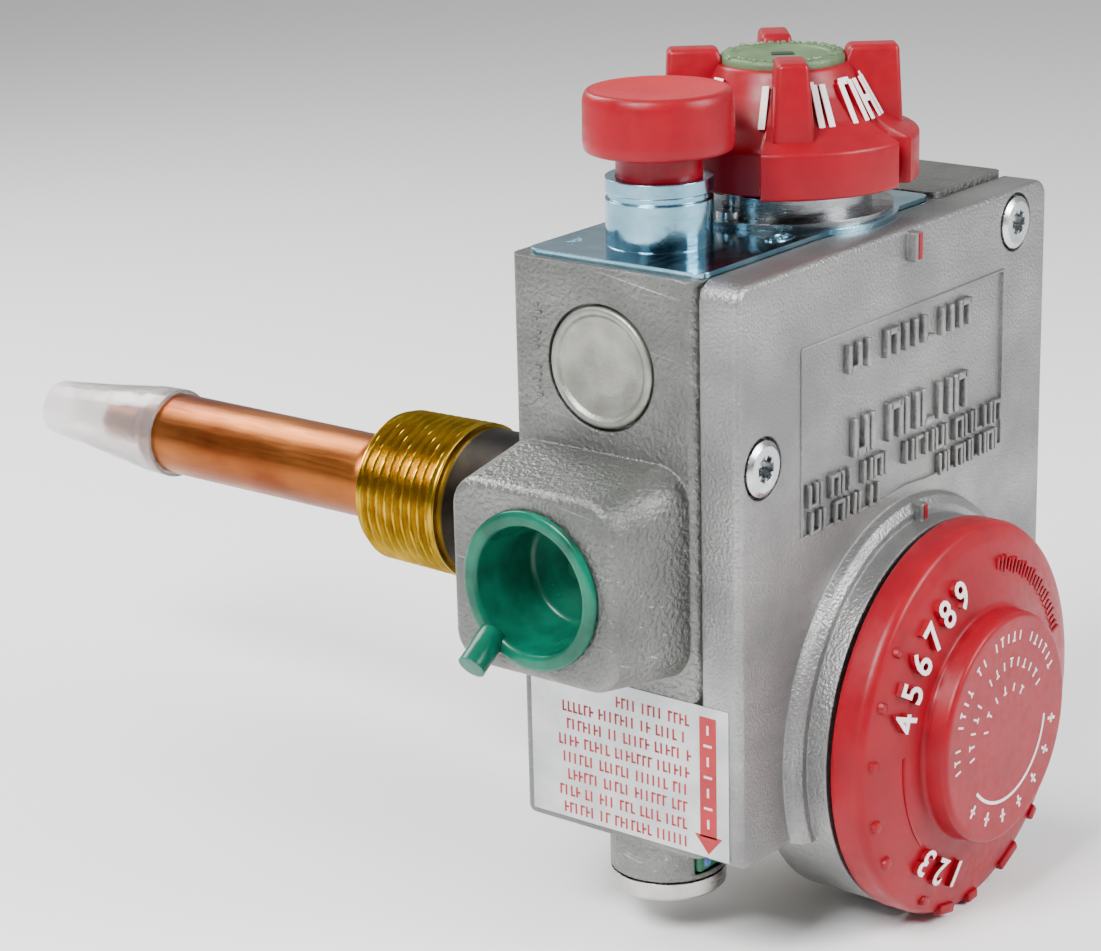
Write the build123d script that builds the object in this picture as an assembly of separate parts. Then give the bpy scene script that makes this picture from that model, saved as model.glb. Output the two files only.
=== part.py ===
from build123d import *
import math
import os

# Combination gas control of a storage water heater.
# Frame, in millimetres: +X to the right along the front cover, +Y to the back, into the tank, +Z up.
# Origin: on the axis of the tank shank, at the hand-tight plane of its thread.

# ---- driving dimensions ------------------------------------------------------------------------
BODY_W = 85.4            # left face to right face
BODY_H = 90.0            # top plate to underside
BODY_D = 34.1            # parting face to back face
COVER_D = 6.8            # parting face to cover front
COVER_LIP = 2.2          # cover beyond the right face
COVER_CORNER_R = 2.8
WALL = 2.6               # casting walls
CORNER_R = 2.2           # vertical corners of the body
JOINT_GAP = 0.5          # gasket thickness between body and cover
RUN = 0.05               # radial clearance of running fits
FREE = 0.4               # clearance between parts that pass without guiding
WEB = 2.2                # least wall left between two bores

SHANK_IN = 30.0          # shank axis from the left face
SHANK_DOWN = 53.0        # shank axis below the plate
SHANK_OUT = 48.7         # back face to the thread's free end
SHANK_R = 12.4
THREAD_R = 13.2
THREAD_L = 17.7
HAND_TIGHT = 8.6         # free end of the thread to its hand-tight plane
TUBE_R = 7.33
TUBE_WALL = 0.9
TUBE_OUT = 56.5          # thread end to the tube's shoulder
TUBE_GRIP = 12.0         # length of tube held in the shank
NOSE_R = 3.3
NOSE_L = 13.0
ROD_R = 1.8
ROD_TRAVEL = 0.5

GUARD_WALL = 0.6         # clear sleeve over the tube's end
GUARD_GRIP = 9.0
GUARD_L = 36.0
GUARD_TIP_R = 5.0
GUARD_TRAVEL = 38.0

INLET_BACK = 20.5        # inlet axis behind the parting face
INLET_DOWN = 46.7
INLET_R = 10.4           # threaded port, half-inch pipe
INLET_L = 15.0
BOSS_OUT = 13.5          # inlet boss beyond the left face
TAB_R = 2.25             # pull tab of the inlet plug
TAB_ANGLE = 50.0         # its place on the rim, below the horizontal, towards the back
BOSS_Y = 30.0
BOSS_Z = 29.0
PASSAGE_R = 6.4

BUTTON_IN = 14.9         # reset button axis
BUTTON_BACK = 17.3
CAP_R = 11.2
CAP_T = 9.1
STEM_R = 6.45
STEM_WALL = 1.5
SLEEVE_R = 8.0
SLEEVE_H = 10.0
SLEEVE_WALL = 0.9
CAP_LIFT = 13.8          # underside of the cap above the plate
BUTTON_TRAVEL = 3.5      # the cap stops short of the sleeve
PLATE_T = 0.9
PLATE_SCREW_R = 1.2

CHAMBER_R = 9.4          # safety valve chamber below the button
CHAMBER_TOP = 15.0       # all four are depths below the plate
SEAT_DOWN = 29.0
LID_DOWN = 44.0
MAGNET_DOWN = 66.0
SEAT_T = 2.5
SEAT_BORE = 5.2
DISC_R = 7.0
DISC_T = 2.4
CAN_R = 7.2
CAN_WALL = 0.8
PIN_R = 1.5

NECK_R = 9.1             # round neck on the underside
NECK_L = 9.6
NUT_T = 3.0
NECK_GAP = 0.4
THERMO_R = 4.37          # thermocouple port
THERMO_L = 11.0
PLUG_W = 7.6             # wire connector in the neck's window
PLUG_H = 5.4
PLUG_D = 9.0
PLUG_TRAVEL = 7.0

COCK_IN = 44.0           # gas cock axis
COCK_BACK = 15.1
COCK_R = 9.0
COCK_SMALL_R = 7.6
COCK_TOP = 5.0
COCK_L = 24.0
COCK_PORT_R = 3.6
COCK_STEM_R = 3.2
BONNET_R = 13.7
BONNET_FLANGE_R = 17.0
BONNET_H = 4.6
KNOB_R = 20.8
KNOB_BASE_R = 17.6
KNOB_LOBES = ((204, 271), (280, 345))   # from and to, in degrees from +X; the gap clears the button
KNOB_LIFT = 5.2
KNOB_SKIRT_H = 7.9
KNOB_TOP = 22.6
KNOB_RIB_TOP = 25.0
KNOB_RIB_W = 5.0
RIB_OUT = 17.5
INSERT_R = 9.6
INSERT_T = 3.0
RIB_ANGLE = 39.0         # first grip rib, measured from -X towards -Y

DIAL_IN = 45.2           # temperature dial axis
DIAL_DOWN = 77.5
DIAL_R = 31.3
DIAL_BACK = 6.4          # back rim of the dial ahead of the cover
DIAL_T = 10.2
HUB_R = 18.6
HUB_T = 2.1
COLLAR_R = 31.0          # round boss of the cover behind the dial
COLLAR_T = 5.6
COLLAR_WALL = 3.0
SCREW_R = 3.0
SCREW_ADVANCE = 0.6
STOP_R = 22.0
STOP_PIN_R = 1.5
LUG_W = 4.0

POINTER_IN = 45.6        # raised pointer below the knob
PANEL_IN = 15.9          # sunk panel on the cover
PANEL_W = 58.2
PANEL_DOWN = 13.4
PANEL_H = 28.5
PANEL_SUNK = 0.5
COVER_SCREW_HEAD_R = 4.2
COVER_SCREW_R = 2.0
SCREW_SEAT_R = 4.75
SCREW_EDGE = 6.3         # cover screws from the top and bottom edges
SCREW_LEFT = 6.1         # cover screws from the side faces
SCREW_RIGHT = 7.9
SCREW_LOW = 27.5
SCREW_CORNER = 4.5

VALVE_R = 6.6            # main valve, on the line from the shank to the dial
VALVE_T = 2.2
VALVE_PLATE_T = 1.8
VALVE_PLATE_BACK = 5.0   # front of the valve plate behind the parting face
PLATE_STEP = 1.2         # step that the valve plate rests on
PILLAR_R = 4.0           # metal left round a cover screw
VALVE_LIFT = 1.5
SNAP_R = 7.5
LEVER_T = 2.0
LEVER_W = 6.0
LEVER_BACK = 14.6        # front of the lever behind the parting face
ROOM_DEPTH = 23.5        # thermostat room behind the parting face

DISC_PLUG_R = 9.6        # pressed plug on the left face
DISC_PLUG_DOWN = 15.9
DISC_PLUG_BACK = 17.4
FILTER_DEPTH = 4.0
LABEL_T = 0.12

BURNER_IN = 60.0
BURNER_R = 7.94
BURNER_L = 5.6
PILOT_IN = 36.0
PILOT_R = 3.6
PILOT_L = 5.0
OUTLET_BACK = 17.4

# ---- places in the part's frame ----------------------------------------------------------------
LEFT = -SHANK_IN
RIGHT = LEFT + BODY_W
COVER_RIGHT = RIGHT + COVER_LIP
POINTER_X = LEFT + POINTER_IN
TOP = SHANK_DOWN
BOTTOM = TOP - BODY_H
BACK = HAND_TIGHT - SHANK_OUT
PARTING = BACK - BODY_D
FRONT = PARTING - COVER_D
BODY_TOP = TOP - PLATE_T
THREAD_END = HAND_TIGHT
TUBE_END = THREAD_END + TUBE_OUT

BUTTON = (LEFT + BUTTON_IN, PARTING + BUTTON_BACK)
COCK = (LEFT + COCK_IN, PARTING + COCK_BACK)
DIAL = (LEFT + DIAL_IN, TOP - DIAL_DOWN)
INLET = (PARTING + INLET_BACK, TOP - INLET_DOWN)
STOP_PIN = (DIAL[0], DIAL[1] + STOP_R)
LEVER_LENGTH = math.hypot(*DIAL)
VALVE = (DIAL[0] / 2, DIAL[1] / 2)
BOSS_FACE = LEFT - BOSS_OUT
CHAMBER_CEILING = TOP - CHAMBER_TOP
SEAT_Z = TOP - SEAT_DOWN
LID_Z = TOP - LID_DOWN
MAGNET_Z = TOP - MAGNET_DOWN
CAP_Z = TOP + CAP_LIFT
NECK_END = BOTTOM - NECK_L
PLATE_Y = PARTING + VALVE_PLATE_BACK
LEVER_Y = PARTING + LEVER_BACK
ROOM_BACK = PARTING + ROOM_DEPTH
COCK_Z = TOP - COCK_TOP
COCK_END = COCK_Z - COCK_L


# ---- plain solids ------------------------------------------------------------------------------
def slab(x0, x1, y0, y1, z0, z1):
    """A block between two corners."""
    return Pos((x0 + x1) / 2, (y0 + y1) / 2, (z0 + z1) / 2) * Box(x1 - x0, y1 - y0, z1 - z0)


def round_z(centre, r, z0, z1, r_top=None):
    """A round bar, or a cone when r_top is given, upright from z0 to z1."""
    place = Pos(centre[0], centre[1], (z0 + z1) / 2)
    return place * (Cylinder(r, z1 - z0) if r_top is None else Cone(r, r_top, z1 - z0))


def round_y(centre, r, y0, y1, r_back=None):
    """A round bar, or a cone, along +Y. centre is (x, z)."""
    place = Pos(centre[0], (y0 + y1) / 2, centre[1]) * Rot(-90, 0, 0)
    return place * (Cylinder(r, y1 - y0) if r_back is None else Cone(r, r_back, y1 - y0))


def round_x(centre, r, x0, x1, r_right=None):
    """A round bar, or a cone, along +X. centre is (y, z)."""
    place = Pos((x0 + x1) / 2, centre[0], centre[1]) * Rot(0, 90, 0)
    return place * (Cylinder(r, x1 - x0) if r_right is None else Cone(r, r_right, x1 - x0))


def coil(radius, wire, free, turns):
    """A helical spring that stands on z = 0, with its wire centred at the given radius."""
    rise = free - 2 * wire
    path = Helix(pitch=rise / turns, height=rise, radius=radius)
    section = Plane(origin=path @ 0, z_dir=path % 0) * Circle(wire)
    return Pos(0, 0, wire) * sweep(section, path=path, is_frenet=True)


def turned(profile):
    """A solid of revolution about +Z from (radius, height) points."""
    outline = Polyline(*[(r, 0, h) for r, h in profile], close=True)
    return revolve(make_face(outline), Axis.Z)


def sector(r, start, end):
    """A wedge about +Z between two angles in degrees, 60 mm high."""
    edge = [(r * math.cos(math.radians(a)), r * math.sin(math.radians(a))) for a in (start, end)]
    return extrude(make_face(Polyline((0, 0), *edge, close=True)), 60)


def facing_front(solid, centre, y):
    """Lays a solid made about +Z along -Y, with its z = 0 at y. centre is (x, z)."""
    return Pos(centre[0], y, centre[1]) * Rot(90, 0, 0) * solid


def save(name, *solids):
    """Writes one node. Its solids stay separate."""
    pieces = [s for shape in solids for s in shape.solids()]
    shape = pieces[0] if len(pieces) == 1 else Compound(children=pieces)
    shape.label = name
    export_step(shape, f"parts/{name}.step")


# ---- castings ----------------------------------------------------------------------------------
def screw_places():
    """(x, z) of the cover screws: two in sight, two behind the dial."""
    return [
        (LEFT + SCREW_LEFT, TOP - 28.6),
        (RIGHT - SCREW_RIGHT, TOP - SCREW_EDGE),
        (LEFT + SCREW_LOW, BOTTOM + SCREW_EDGE),
        (RIGHT - SCREW_CORNER, BOTTOM + SCREW_EDGE),
    ]


def inlet_boss():
    """The block round the inlet, wider at its root than at its face."""
    centre_y = INLET[0] + 0.1
    centre_z = INLET[1] + 0.6
    face = Plane(origin=(BOSS_FACE, centre_y, centre_z), x_dir=(0, 1, 0), z_dir=(-1, 0, 0))
    root = Plane(origin=(LEFT + 1, centre_y - 2, centre_z + 1), x_dir=(0, 1, 0), z_dir=(-1, 0, 0))
    body = loft([
        root * RectangleRounded(BOSS_Y + 4, BOSS_Z + 4, 5.5),
        face * RectangleRounded(BOSS_Y, BOSS_Z, 5.0),
    ])
    rim = body.faces().sort_by(Axis.X)[0].edges()
    return fillet(rim, 1.4)


def thermostat_room():
    """The hollow behind the valve plate, with the step that the plate rests on."""
    left = BUTTON[0] + CHAMBER_R + WEB
    right = RIGHT - SCREW_CORNER - 6.5
    ceiling = COCK_END - WEB
    floor = BOTTOM + 2 * WALL
    room = slab(left, right, PARTING - 1, ROOM_BACK, floor, ceiling)
    step = slab(left - PLATE_STEP, right + PLATE_STEP, PARTING - 1, PLATE_Y + VALVE_PLATE_T,
                floor - PLATE_STEP, ceiling + PLATE_STEP)
    hollow = fillet(room.edges().filter_by(Axis.Y), 2.5) + fillet(step.edges().filter_by(Axis.Y), 2.5)
    for place in screw_places():
        hollow -= round_y(place, PILLAR_R, PARTING - 1, ROOM_BACK + 1)
    return hollow


def body_casting():
    block = slab(LEFT, RIGHT, PARTING + JOINT_GAP / 2, BACK, BOTTOM, BODY_TOP)
    block = fillet(block.edges().filter_by(Axis.Z), CORNER_R)
    block = fillet(block.faces().sort_by(Axis.Z)[0].edges(), 1.2)
    ledge_x = LEFT + COCK_IN + BONNET_FLANGE_R + 3.5
    block += fillet(
        slab(ledge_x, RIGHT, PARTING + JOINT_GAP / 2, BACK - 3, TOP - 3, TOP).edges().filter_by(Axis.Z), 1.5)
    block += inlet_boss()
    block += round_z(BUTTON, NECK_R, NECK_END + NECK_GAP, BOTTOM + 2)
    block -= thermostat_room()
    block -= round_x(INLET, INLET_R, BOSS_FACE - 1, BOSS_FACE + INLET_L)
    block -= round_x(INLET, PASSAGE_R, BOSS_FACE + INLET_L - 1, BUTTON[0])
    block -= round_z(BUTTON, CHAMBER_R, MAGNET_Z - 3, CHAMBER_CEILING)
    block -= round_z(BUTTON, CAN_R + RUN, NECK_END - 1, MAGNET_Z)
    block -= round_z(BUTTON, SLEEVE_R - SLEEVE_WALL, TOP - 9, TOP + 1)
    block -= round_z(BUTTON, PIN_R + RUN, CHAMBER_CEILING - 1, TOP)
    block -= round_z(BUTTON, 3.2, CHAMBER_CEILING - 1, CHAMBER_CEILING + 2.4)
    block -= round_z(COCK, COCK_SMALL_R + RUN, COCK_END, COCK_Z, COCK_R + RUN)
    block -= round_z(COCK, COCK_R + RUN, COCK_Z - 0.01, TOP + 1)
    for place in plate_screw_places():
        block -= round_z(place, PLATE_SCREW_R, BODY_TOP - 7, TOP)
    port_z = COCK_Z - COCK_L / 2
    block -= round_x((BUTTON[1], port_z), COCK_PORT_R, BUTTON[0], COCK[0])
    block -= round_y((COCK[0], port_z), COCK_PORT_R, PARTING - 1, COCK[1])
    block -= round_y((0, 0), ROD_R + FREE, ROOM_BACK - 1, BACK + 1)
    block -= round_y((0, 0), SHANK_R - 2 + RUN, BACK - 8, BACK + 1)
    side = (PARTING + DISC_PLUG_BACK, TOP - DISC_PLUG_DOWN)
    block -= round_x(side, DISC_PLUG_R, LEFT - 1, LEFT + 1.2)
    block -= round_x(side, DISC_PLUG_R - 1.6, LEFT - 1, LEFT + 1.2 + FILTER_DEPTH)
    outlet_y = PARTING + OUTLET_BACK
    block -= round_z((LEFT + BURNER_IN, outlet_y), BURNER_R + 2, BOTTOM - 1, BOTTOM + 2 * WALL - 1.5)
    block -= round_z((LEFT + BURNER_IN, outlet_y), BURNER_R - 1, BOTTOM - 1, BOTTOM + 3 * WALL)
    block -= round_z((LEFT + PILOT_IN, outlet_y), PILOT_R + 1.6, BOTTOM - 1, BOTTOM + 2 * WALL - 1.5)
    block -= round_z((LEFT + PILOT_IN, outlet_y), PILOT_R - 1.6, BOTTOM - 1, BOTTOM + 3 * WALL)
    for x, z in screw_places():
        block -= round_y((x, z), COVER_SCREW_R, PARTING - 1, PARTING + 9)
    window = slab(BUTTON[0] - PLUG_W / 2 - FREE, BUTTON[0] + PLUG_W / 2 + FREE, BUTTON[1] - NECK_R - 1,
                  BUTTON[1], NECK_END + 1.2, NECK_END + 1.2 + PLUG_H + 2 * FREE)
    return block - window


def front_cover():
    block = slab(LEFT, COVER_RIGHT, FRONT, PARTING - JOINT_GAP / 2, BOTTOM, BODY_TOP)
    block = fillet(block.edges().filter_by(Axis.Y), COVER_CORNER_R)
    block = fillet(block.faces().sort_by(Axis.Y)[0].edges(), 1.1)
    block += round_y(DIAL, COLLAR_R, FRONT - COLLAR_T, PARTING - JOINT_GAP / 2)
    ridge = turned([(COLLAR_R - 1, -1), (COLLAR_R + 3.4, -1), (COLLAR_R + 2.6, 1.4), (COLLAR_R + 1.2, 2.2),
                    (COLLAR_R - 1, 2.2)])
    block += facing_front(ridge, DIAL, FRONT) & slab(LEFT, COVER_RIGHT, FRONT - 9, PARTING, BOTTOM, TOP)
    inner = slab(LEFT + WALL + 6, RIGHT - WALL - 6, FRONT + WALL, PARTING, BOTTOM + WALL + 1, TOP - WALL - 8)
    block -= fillet(inner.edges().filter_by(Axis.Y), 5)
    block -= round_y(DIAL, COLLAR_R - COLLAR_WALL, FRONT - COLLAR_T - 1, FRONT - 0.6)
    block += round_y(DIAL, SCREW_R + 3.4, FRONT - COLLAR_T, FRONT + WALL + 3)
    block -= round_y(DIAL, SCREW_R + RUN, FRONT - 9, PARTING)
    block -= slab(LEFT + PANEL_IN, LEFT + PANEL_IN + PANEL_W, FRONT - 1, FRONT + PANEL_SUNK,
                  TOP - PANEL_DOWN - PANEL_H, TOP - PANEL_DOWN) - round_y(DIAL, COLLAR_R + 5, FRONT - 9, PARTING)
    for x, z in screw_places():
        block += round_y((x, z), COVER_SCREW_R + 2.2, FRONT + WALL, PARTING - JOINT_GAP / 2) & slab(
            LEFT, RIGHT, FRONT, PARTING, BOTTOM, BODY_TOP)
        block -= round_y((x, z), SCREW_SEAT_R, FRONT - 0.7, FRONT + 1.6)
        block -= round_y((x, z), COVER_SCREW_R + 0.2, FRONT - 9, PARTING)
    block -= round_y(STOP_PIN, STOP_PIN_R, FRONT - 9, FRONT + 1.6)
    block += slab(POINTER_X - 0.85, POINTER_X + 0.85, FRONT - 1.6, FRONT + 1, TOP - 6, TOP - 1.5)
    block += slab(DIAL[0] - 0.9, DIAL[0] + 0.9, FRONT - 3.4, FRONT + 1, DIAL[1] + COLLAR_R, DIAL[1] + COLLAR_R + 2.6)
    return block


def cover_gasket():
    """A sheet between the castings, open over the gas spaces."""
    y0 = PARTING - JOINT_GAP / 2
    y1 = PARTING + JOINT_GAP / 2
    inset = 1.0
    sheet = slab(LEFT + inset, RIGHT - inset, y0, y1, BOTTOM + inset, TOP - inset - PLATE_T)
    hollow = slab(LEFT + WALL + 7, RIGHT - WALL - 7, y0 - 1, y1 + 1, BOTTOM + WALL + 2, TOP - WALL - 9)
    sheet -= hollow
    for x, z in screw_places():
        sheet += round_y((x, z), COVER_SCREW_R + 2, y0, y1) & slab(
            LEFT + inset, RIGHT - inset, y0, y1, BOTTOM + inset, TOP - inset - PLATE_T)
        sheet -= round_y((x, z), COVER_SCREW_R + 0.2, y0 - 1, y1 + 1)
    return sheet


def cover_screws():
    """Pan-head screws with a six-lobed socket."""
    screws = []
    for x, z in screw_places():
        head = round_y((x, z), COVER_SCREW_HEAD_R - 0.8, FRONT - 0.6, FRONT - 0.1, COVER_SCREW_HEAD_R)
        head += round_y((x, z), COVER_SCREW_HEAD_R, FRONT - 0.1, FRONT + 1.6)
        shank = round_y((x, z), COVER_SCREW_R, FRONT + 1.5, PARTING + 8)
        for turn in range(3):
            lobe = Pos(x, FRONT + 0.2, z) * Rot(0, 60 * turn, 0) * Box(3.9, 1.8, 1.3)
            head -= lobe
        screws.append(head + shank)
    return screws


# ---- top plate and reset button ----------------------------------------------------------------
def top_plate():
    edge = 1.45
    back = BACK - 2.15
    sheet = slab(LEFT + edge, LEFT + COCK_IN + BONNET_FLANGE_R + 2.2, PARTING + 0.2, back, BODY_TOP, TOP)
    sheet = fillet(sheet.edges().filter_by(Axis.Z), 2.0)
    sheet += round_z(COCK, BONNET_FLANGE_R + 0.8, BODY_TOP, TOP) & slab(
        LEFT, RIGHT, FRONT, BACK, BODY_TOP, TOP)
    sheet += round_z(BUTTON, SLEEVE_R, TOP - 0.1, TOP + SLEEVE_H)
    sheet -= round_z(BUTTON, SLEEVE_R - SLEEVE_WALL, BODY_TOP - 1, TOP + SLEEVE_H - 1.2)
    sheet -= round_z(BUTTON, STEM_R + RUN, BODY_TOP - 1, TOP + SLEEVE_H + 1)
    groove = turned([(SLEEVE_R - 0.4, SLEEVE_H - 3.0), (SLEEVE_R + 1, SLEEVE_H - 3.6), (SLEEVE_R + 1, SLEEVE_H - 1.6),
                     (SLEEVE_R - 0.4, SLEEVE_H - 2.2)])
    sheet -= Pos(BUTTON[0], BUTTON[1], TOP) * groove
    sheet -= round_z(COCK, COCK_R, BODY_TOP - 1, TOP + 1)
    for x, y in plate_screw_places():
        sheet -= round_z((x, y), PLATE_SCREW_R + 0.1, BODY_TOP - 1, TOP + 1)
    return sheet


def plate_screw_places():
    """(x, y) of the screws that hold the bonnet and the plate."""
    reach = BONNET_FLANGE_R - 2.4
    return [(COCK[0] - reach, COCK[1]), (COCK[0] + reach, COCK[1])]


def plate_screws():
    screws = []
    for place in plate_screw_places():
        head = round_z(place, 1.9, TOP + 1.0, TOP + 2.2)
        screws.append(head + round_z(place, PLATE_SCREW_R, BODY_TOP - 6, TOP + 1.1))
    return screws


def reset_button():
    """Mushroom cap, with a hollow stem that slides in the drawn sleeve."""
    top = CAP_Z + CAP_T
    cap = round_z(BUTTON, CAP_R, CAP_Z, top)
    cap = fillet(cap.edges().group_by(Axis.Z)[-1], 1.2)
    cap = fillet(cap.edges().group_by(Axis.Z)[0], 0.5)
    dish_r = 60.0
    cap -= Pos(BUTTON[0], BUTTON[1], top + dish_r - 0.9) * Sphere(dish_r)
    stem_end = TOP + 1.6
    stem = round_z(BUTTON, STEM_R, stem_end, CAP_Z + 0.5)
    stem += round_z(BUTTON, SLEEVE_R - SLEEVE_WALL - RUN, stem_end, stem_end + 1.5)
    stem -= round_z(BUTTON, STEM_R - STEM_WALL, stem_end - 1, CAP_Z - 1.5)
    return cap + stem - round_z(BUTTON, PIN_R, stem_end - 1, CAP_Z + 4)


def push_rod():
    """Steel rod from the cap down to the safety valve."""
    return round_z(BUTTON, PIN_R, SEAT_Z, CAP_Z + 4)


def rod_seal():
    ring = round_z(BUTTON, 3.15, CHAMBER_CEILING + 0.3, CHAMBER_CEILING + 2.3)
    return ring - round_z(BUTTON, PIN_R + RUN, CHAMBER_CEILING, CHAMBER_CEILING + 3)


def seal_retainer():
    """Star washer that keeps the seal in its pocket."""
    washer = round_z(BUTTON, CHAMBER_R, CHAMBER_CEILING - 0.6, CHAMBER_CEILING)
    return washer - round_z(BUTTON, PIN_R + FREE, CHAMBER_CEILING - 1, CHAMBER_CEILING + 1)


def reset_spring():
    base = TOP - 9 + 0.1
    free = CAP_Z - 1.5 - base - 0.2
    return Pos(BUTTON[0], BUTTON[1], base) * coil(4.1, 0.45, free, 6)


# ---- safety magnet valve -----------------------------------------------------------------------
def safety_seat():
    ring = round_z(BUTTON, CHAMBER_R, SEAT_Z, SEAT_Z + SEAT_T)
    return ring - round_z(BUTTON, SEAT_BORE, SEAT_Z - 1, SEAT_Z + SEAT_T + 1)


def safety_disc():
    return round_z(BUTTON, DISC_R, SEAT_Z - DISC_T, SEAT_Z) - round_z(BUTTON, PIN_R, SEAT_Z - 9, SEAT_Z - 0.8)


def armature():
    """Valve stem with its backing cup and the magnet's keeper plate."""
    cup = round_z(BUTTON, DISC_R - 0.6, SEAT_Z - DISC_T - 0.8, SEAT_Z - DISC_T)
    stem = round_z(BUTTON, PIN_R, LID_Z - 3, SEAT_Z - 0.8)
    keeper = round_z(BUTTON, 5.2, LID_Z - 4.2, LID_Z - 2.2)
    return cup + stem + keeper


def safety_spring():
    base = LID_Z + 0.1
    free = SEAT_Z - DISC_T - 0.8 - base - 0.1
    return Pos(BUTTON[0], BUTTON[1], base) * coil(3.6, 0.4, free, 5)


def magnet_can():
    can = round_z(BUTTON, CAN_R, MAGNET_Z, LID_Z)
    can -= round_z(BUTTON, CAN_R - CAN_WALL, MAGNET_Z - 1, LID_Z - 1.2)
    return can - round_z(BUTTON, PIN_R + 0.1, MAGNET_Z, LID_Z + 1)


def magnet_core():
    """U-shaped iron, its poles one travel below the keeper."""
    pole_z = LID_Z - 4.2 - BUTTON_TRAVEL - 0.1
    core = slab(BUTTON[0] - 4.6, BUTTON[0] + 4.6, BUTTON[1] - 2, BUTTON[1] + 2, MAGNET_Z, pole_z)
    return core - slab(BUTTON[0] - 2, BUTTON[0] + 2, BUTTON[1] - 3, BUTTON[1] + 3, MAGNET_Z + 3, pole_z + 1)


def magnet_coil():
    """Winding on each leg of the core."""
    legs = []
    for side in (-1, 1):
        x = BUTTON[0] + side * 3.3
        block = slab(x - 1.9, x + 1.9, BUTTON[1] - 3.4, BUTTON[1] + 3.4, MAGNET_Z + 4, LID_Z - 11)
        block -= slab(x - 1.4, x + 1.4, BUTTON[1] - 2.1, BUTTON[1] + 2.1, MAGNET_Z, LID_Z)
        legs.append(block)
    return legs


def magnet_base():
    """Brass end of the power unit, with the thermocouple port in its lower end."""
    lower = NECK_END - NUT_T
    base = round_z(BUTTON, CAN_R, lower + 0.6, MAGNET_Z)
    base -= round_z(BUTTON, THERMO_R, lower, lower + 0.6 + THERMO_L)
    base -= slab(BUTTON[0] - PLUG_W / 2 - FREE, BUTTON[0] + PLUG_W / 2 + FREE, BUTTON[1] - CAN_R - 1,
                 BUTTON[1] - THERMO_R - 0.5, NECK_END + 1.2, NECK_END + 1.2 + PLUG_H + 2 * FREE)
    return base


def neck_nut():
    ring = round_z(BUTTON, NECK_R, NECK_END - NUT_T, NECK_END)
    ring = chamfer(ring.edges().group_by(Axis.Z)[0], 0.6)
    ring -= round_z(BUTTON, CAN_R, NECK_END - NUT_T - 1, NECK_END + 1)
    return ring


def wire_connector():
    """Block of the cut-off link's plug, in the window of the neck."""
    x0 = BUTTON[0] - PLUG_W / 2
    z0 = NECK_END + 1.2 + FREE
    y0 = BUTTON[1] - NECK_R - 0.2
    block = slab(x0, x0 + PLUG_W, y0, BUTTON[1] - THERMO_R - 0.9, z0, z0 + PLUG_H)
    return block


# ---- gas cock ----------------------------------------------------------------------------------
def cock_plug():
    """Tapered plug with a port from its side to its hollow."""
    plug = round_z(COCK, COCK_SMALL_R, COCK_END + 0.3, COCK_Z, COCK_R)
    plug -= round_z(COCK, 4.4, COCK_END, COCK_Z - 5)
    port_z = COCK_Z - COCK_L / 2
    plug -= round_y((COCK[0], port_z), COCK_PORT_R - 1.6, COCK[1] - 12, COCK[1])
    plug -= round_x((COCK[1], port_z), COCK_PORT_R, COCK[0] - 12, COCK[0])
    return plug


def cock_stem():
    """Stem with a flat, pinned to the plug and pushed into the knob."""
    stem = round_z(COCK, COCK_STEM_R, COCK_Z, TOP + KNOB_TOP - INSERT_T - 1.6)
    stem -= slab(COCK[0] + COCK_STEM_R - 0.9, COCK[0] + 9, COCK[1] - 9, COCK[1] + 9, TOP + BONNET_H + 1, TOP + 40)
    return stem


def cock_spring():
    return Pos(COCK[0], COCK[1], COCK_Z + 0.1) * coil(5.2, 0.5, COCK_TOP - 0.2, 2)


def cock_bonnet():
    """Flanged collar that closes the cock's bore and guides its stem."""
    flange = round_z(COCK, BONNET_FLANGE_R, TOP, TOP + 1.0)
    collar = round_z(COCK, BONNET_R, TOP + 0.9, TOP + BONNET_H)
    collar = chamfer(collar.edges().group_by(Axis.Z)[-1], 0.5)
    bonnet = flange + collar
    bonnet -= round_z(COCK, BONNET_R - 2.0, TOP + BONNET_H - 1.2, TOP + 20)
    bonnet -= round_z(COCK, COCK_STEM_R + RUN, TOP - 1, TOP + 20)
    for place in plate_screw_places():
        bonnet -= round_z(place, PLATE_SCREW_R + 0.1, TOP - 1, TOP + 2)
        bonnet -= round_z(place, 2.1, TOP + 1.0, TOP + 9)
    return bonnet


def gas_cock_knob():
    """Red knob: four skirt lobes, a coned hub and four grip ribs."""
    z0 = TOP + KNOB_LIFT
    z1 = z0 + KNOB_SKIRT_H
    knob = round_z(COCK, KNOB_R, z0, z1)
    lobes = [sector(2 * KNOB_R, *span) for span in KNOB_LOBES]
    knob &= Pos(*COCK, z0 - 1) * (lobes[0] + lobes[1])
    knob += round_z(COCK, KNOB_BASE_R, z0, z1 - 1.5)
    knob += round_z(COCK, KNOB_BASE_R - 0.5, z1 - 1.6, z1 + 1.4, KNOB_BASE_R - 2.4)
    knob += round_z(COCK, KNOB_BASE_R - 2.4, z1 + 1.3, TOP + KNOB_TOP, INSERT_R + 0.2)
    for turn in range(4):
        rib = Pos(*COCK, 0) * Rot(0, 0, 180 + RIB_ANGLE + 90 * turn) * slab(
            INSERT_R - 1.0, RIB_OUT, -KNOB_RIB_W / 2, KNOB_RIB_W / 2, z1 - 2, TOP + KNOB_RIB_TOP)
        knob += rib
    knob -= round_z(COCK, INSERT_R, TOP + KNOB_TOP - INSERT_T + 1.6, TOP + 60)
    knob -= round_z(COCK, BONNET_FLANGE_R - 2.2, z0 - 1, z0 + 3.5)
    knob -= cock_stem()
    return knob


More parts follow.
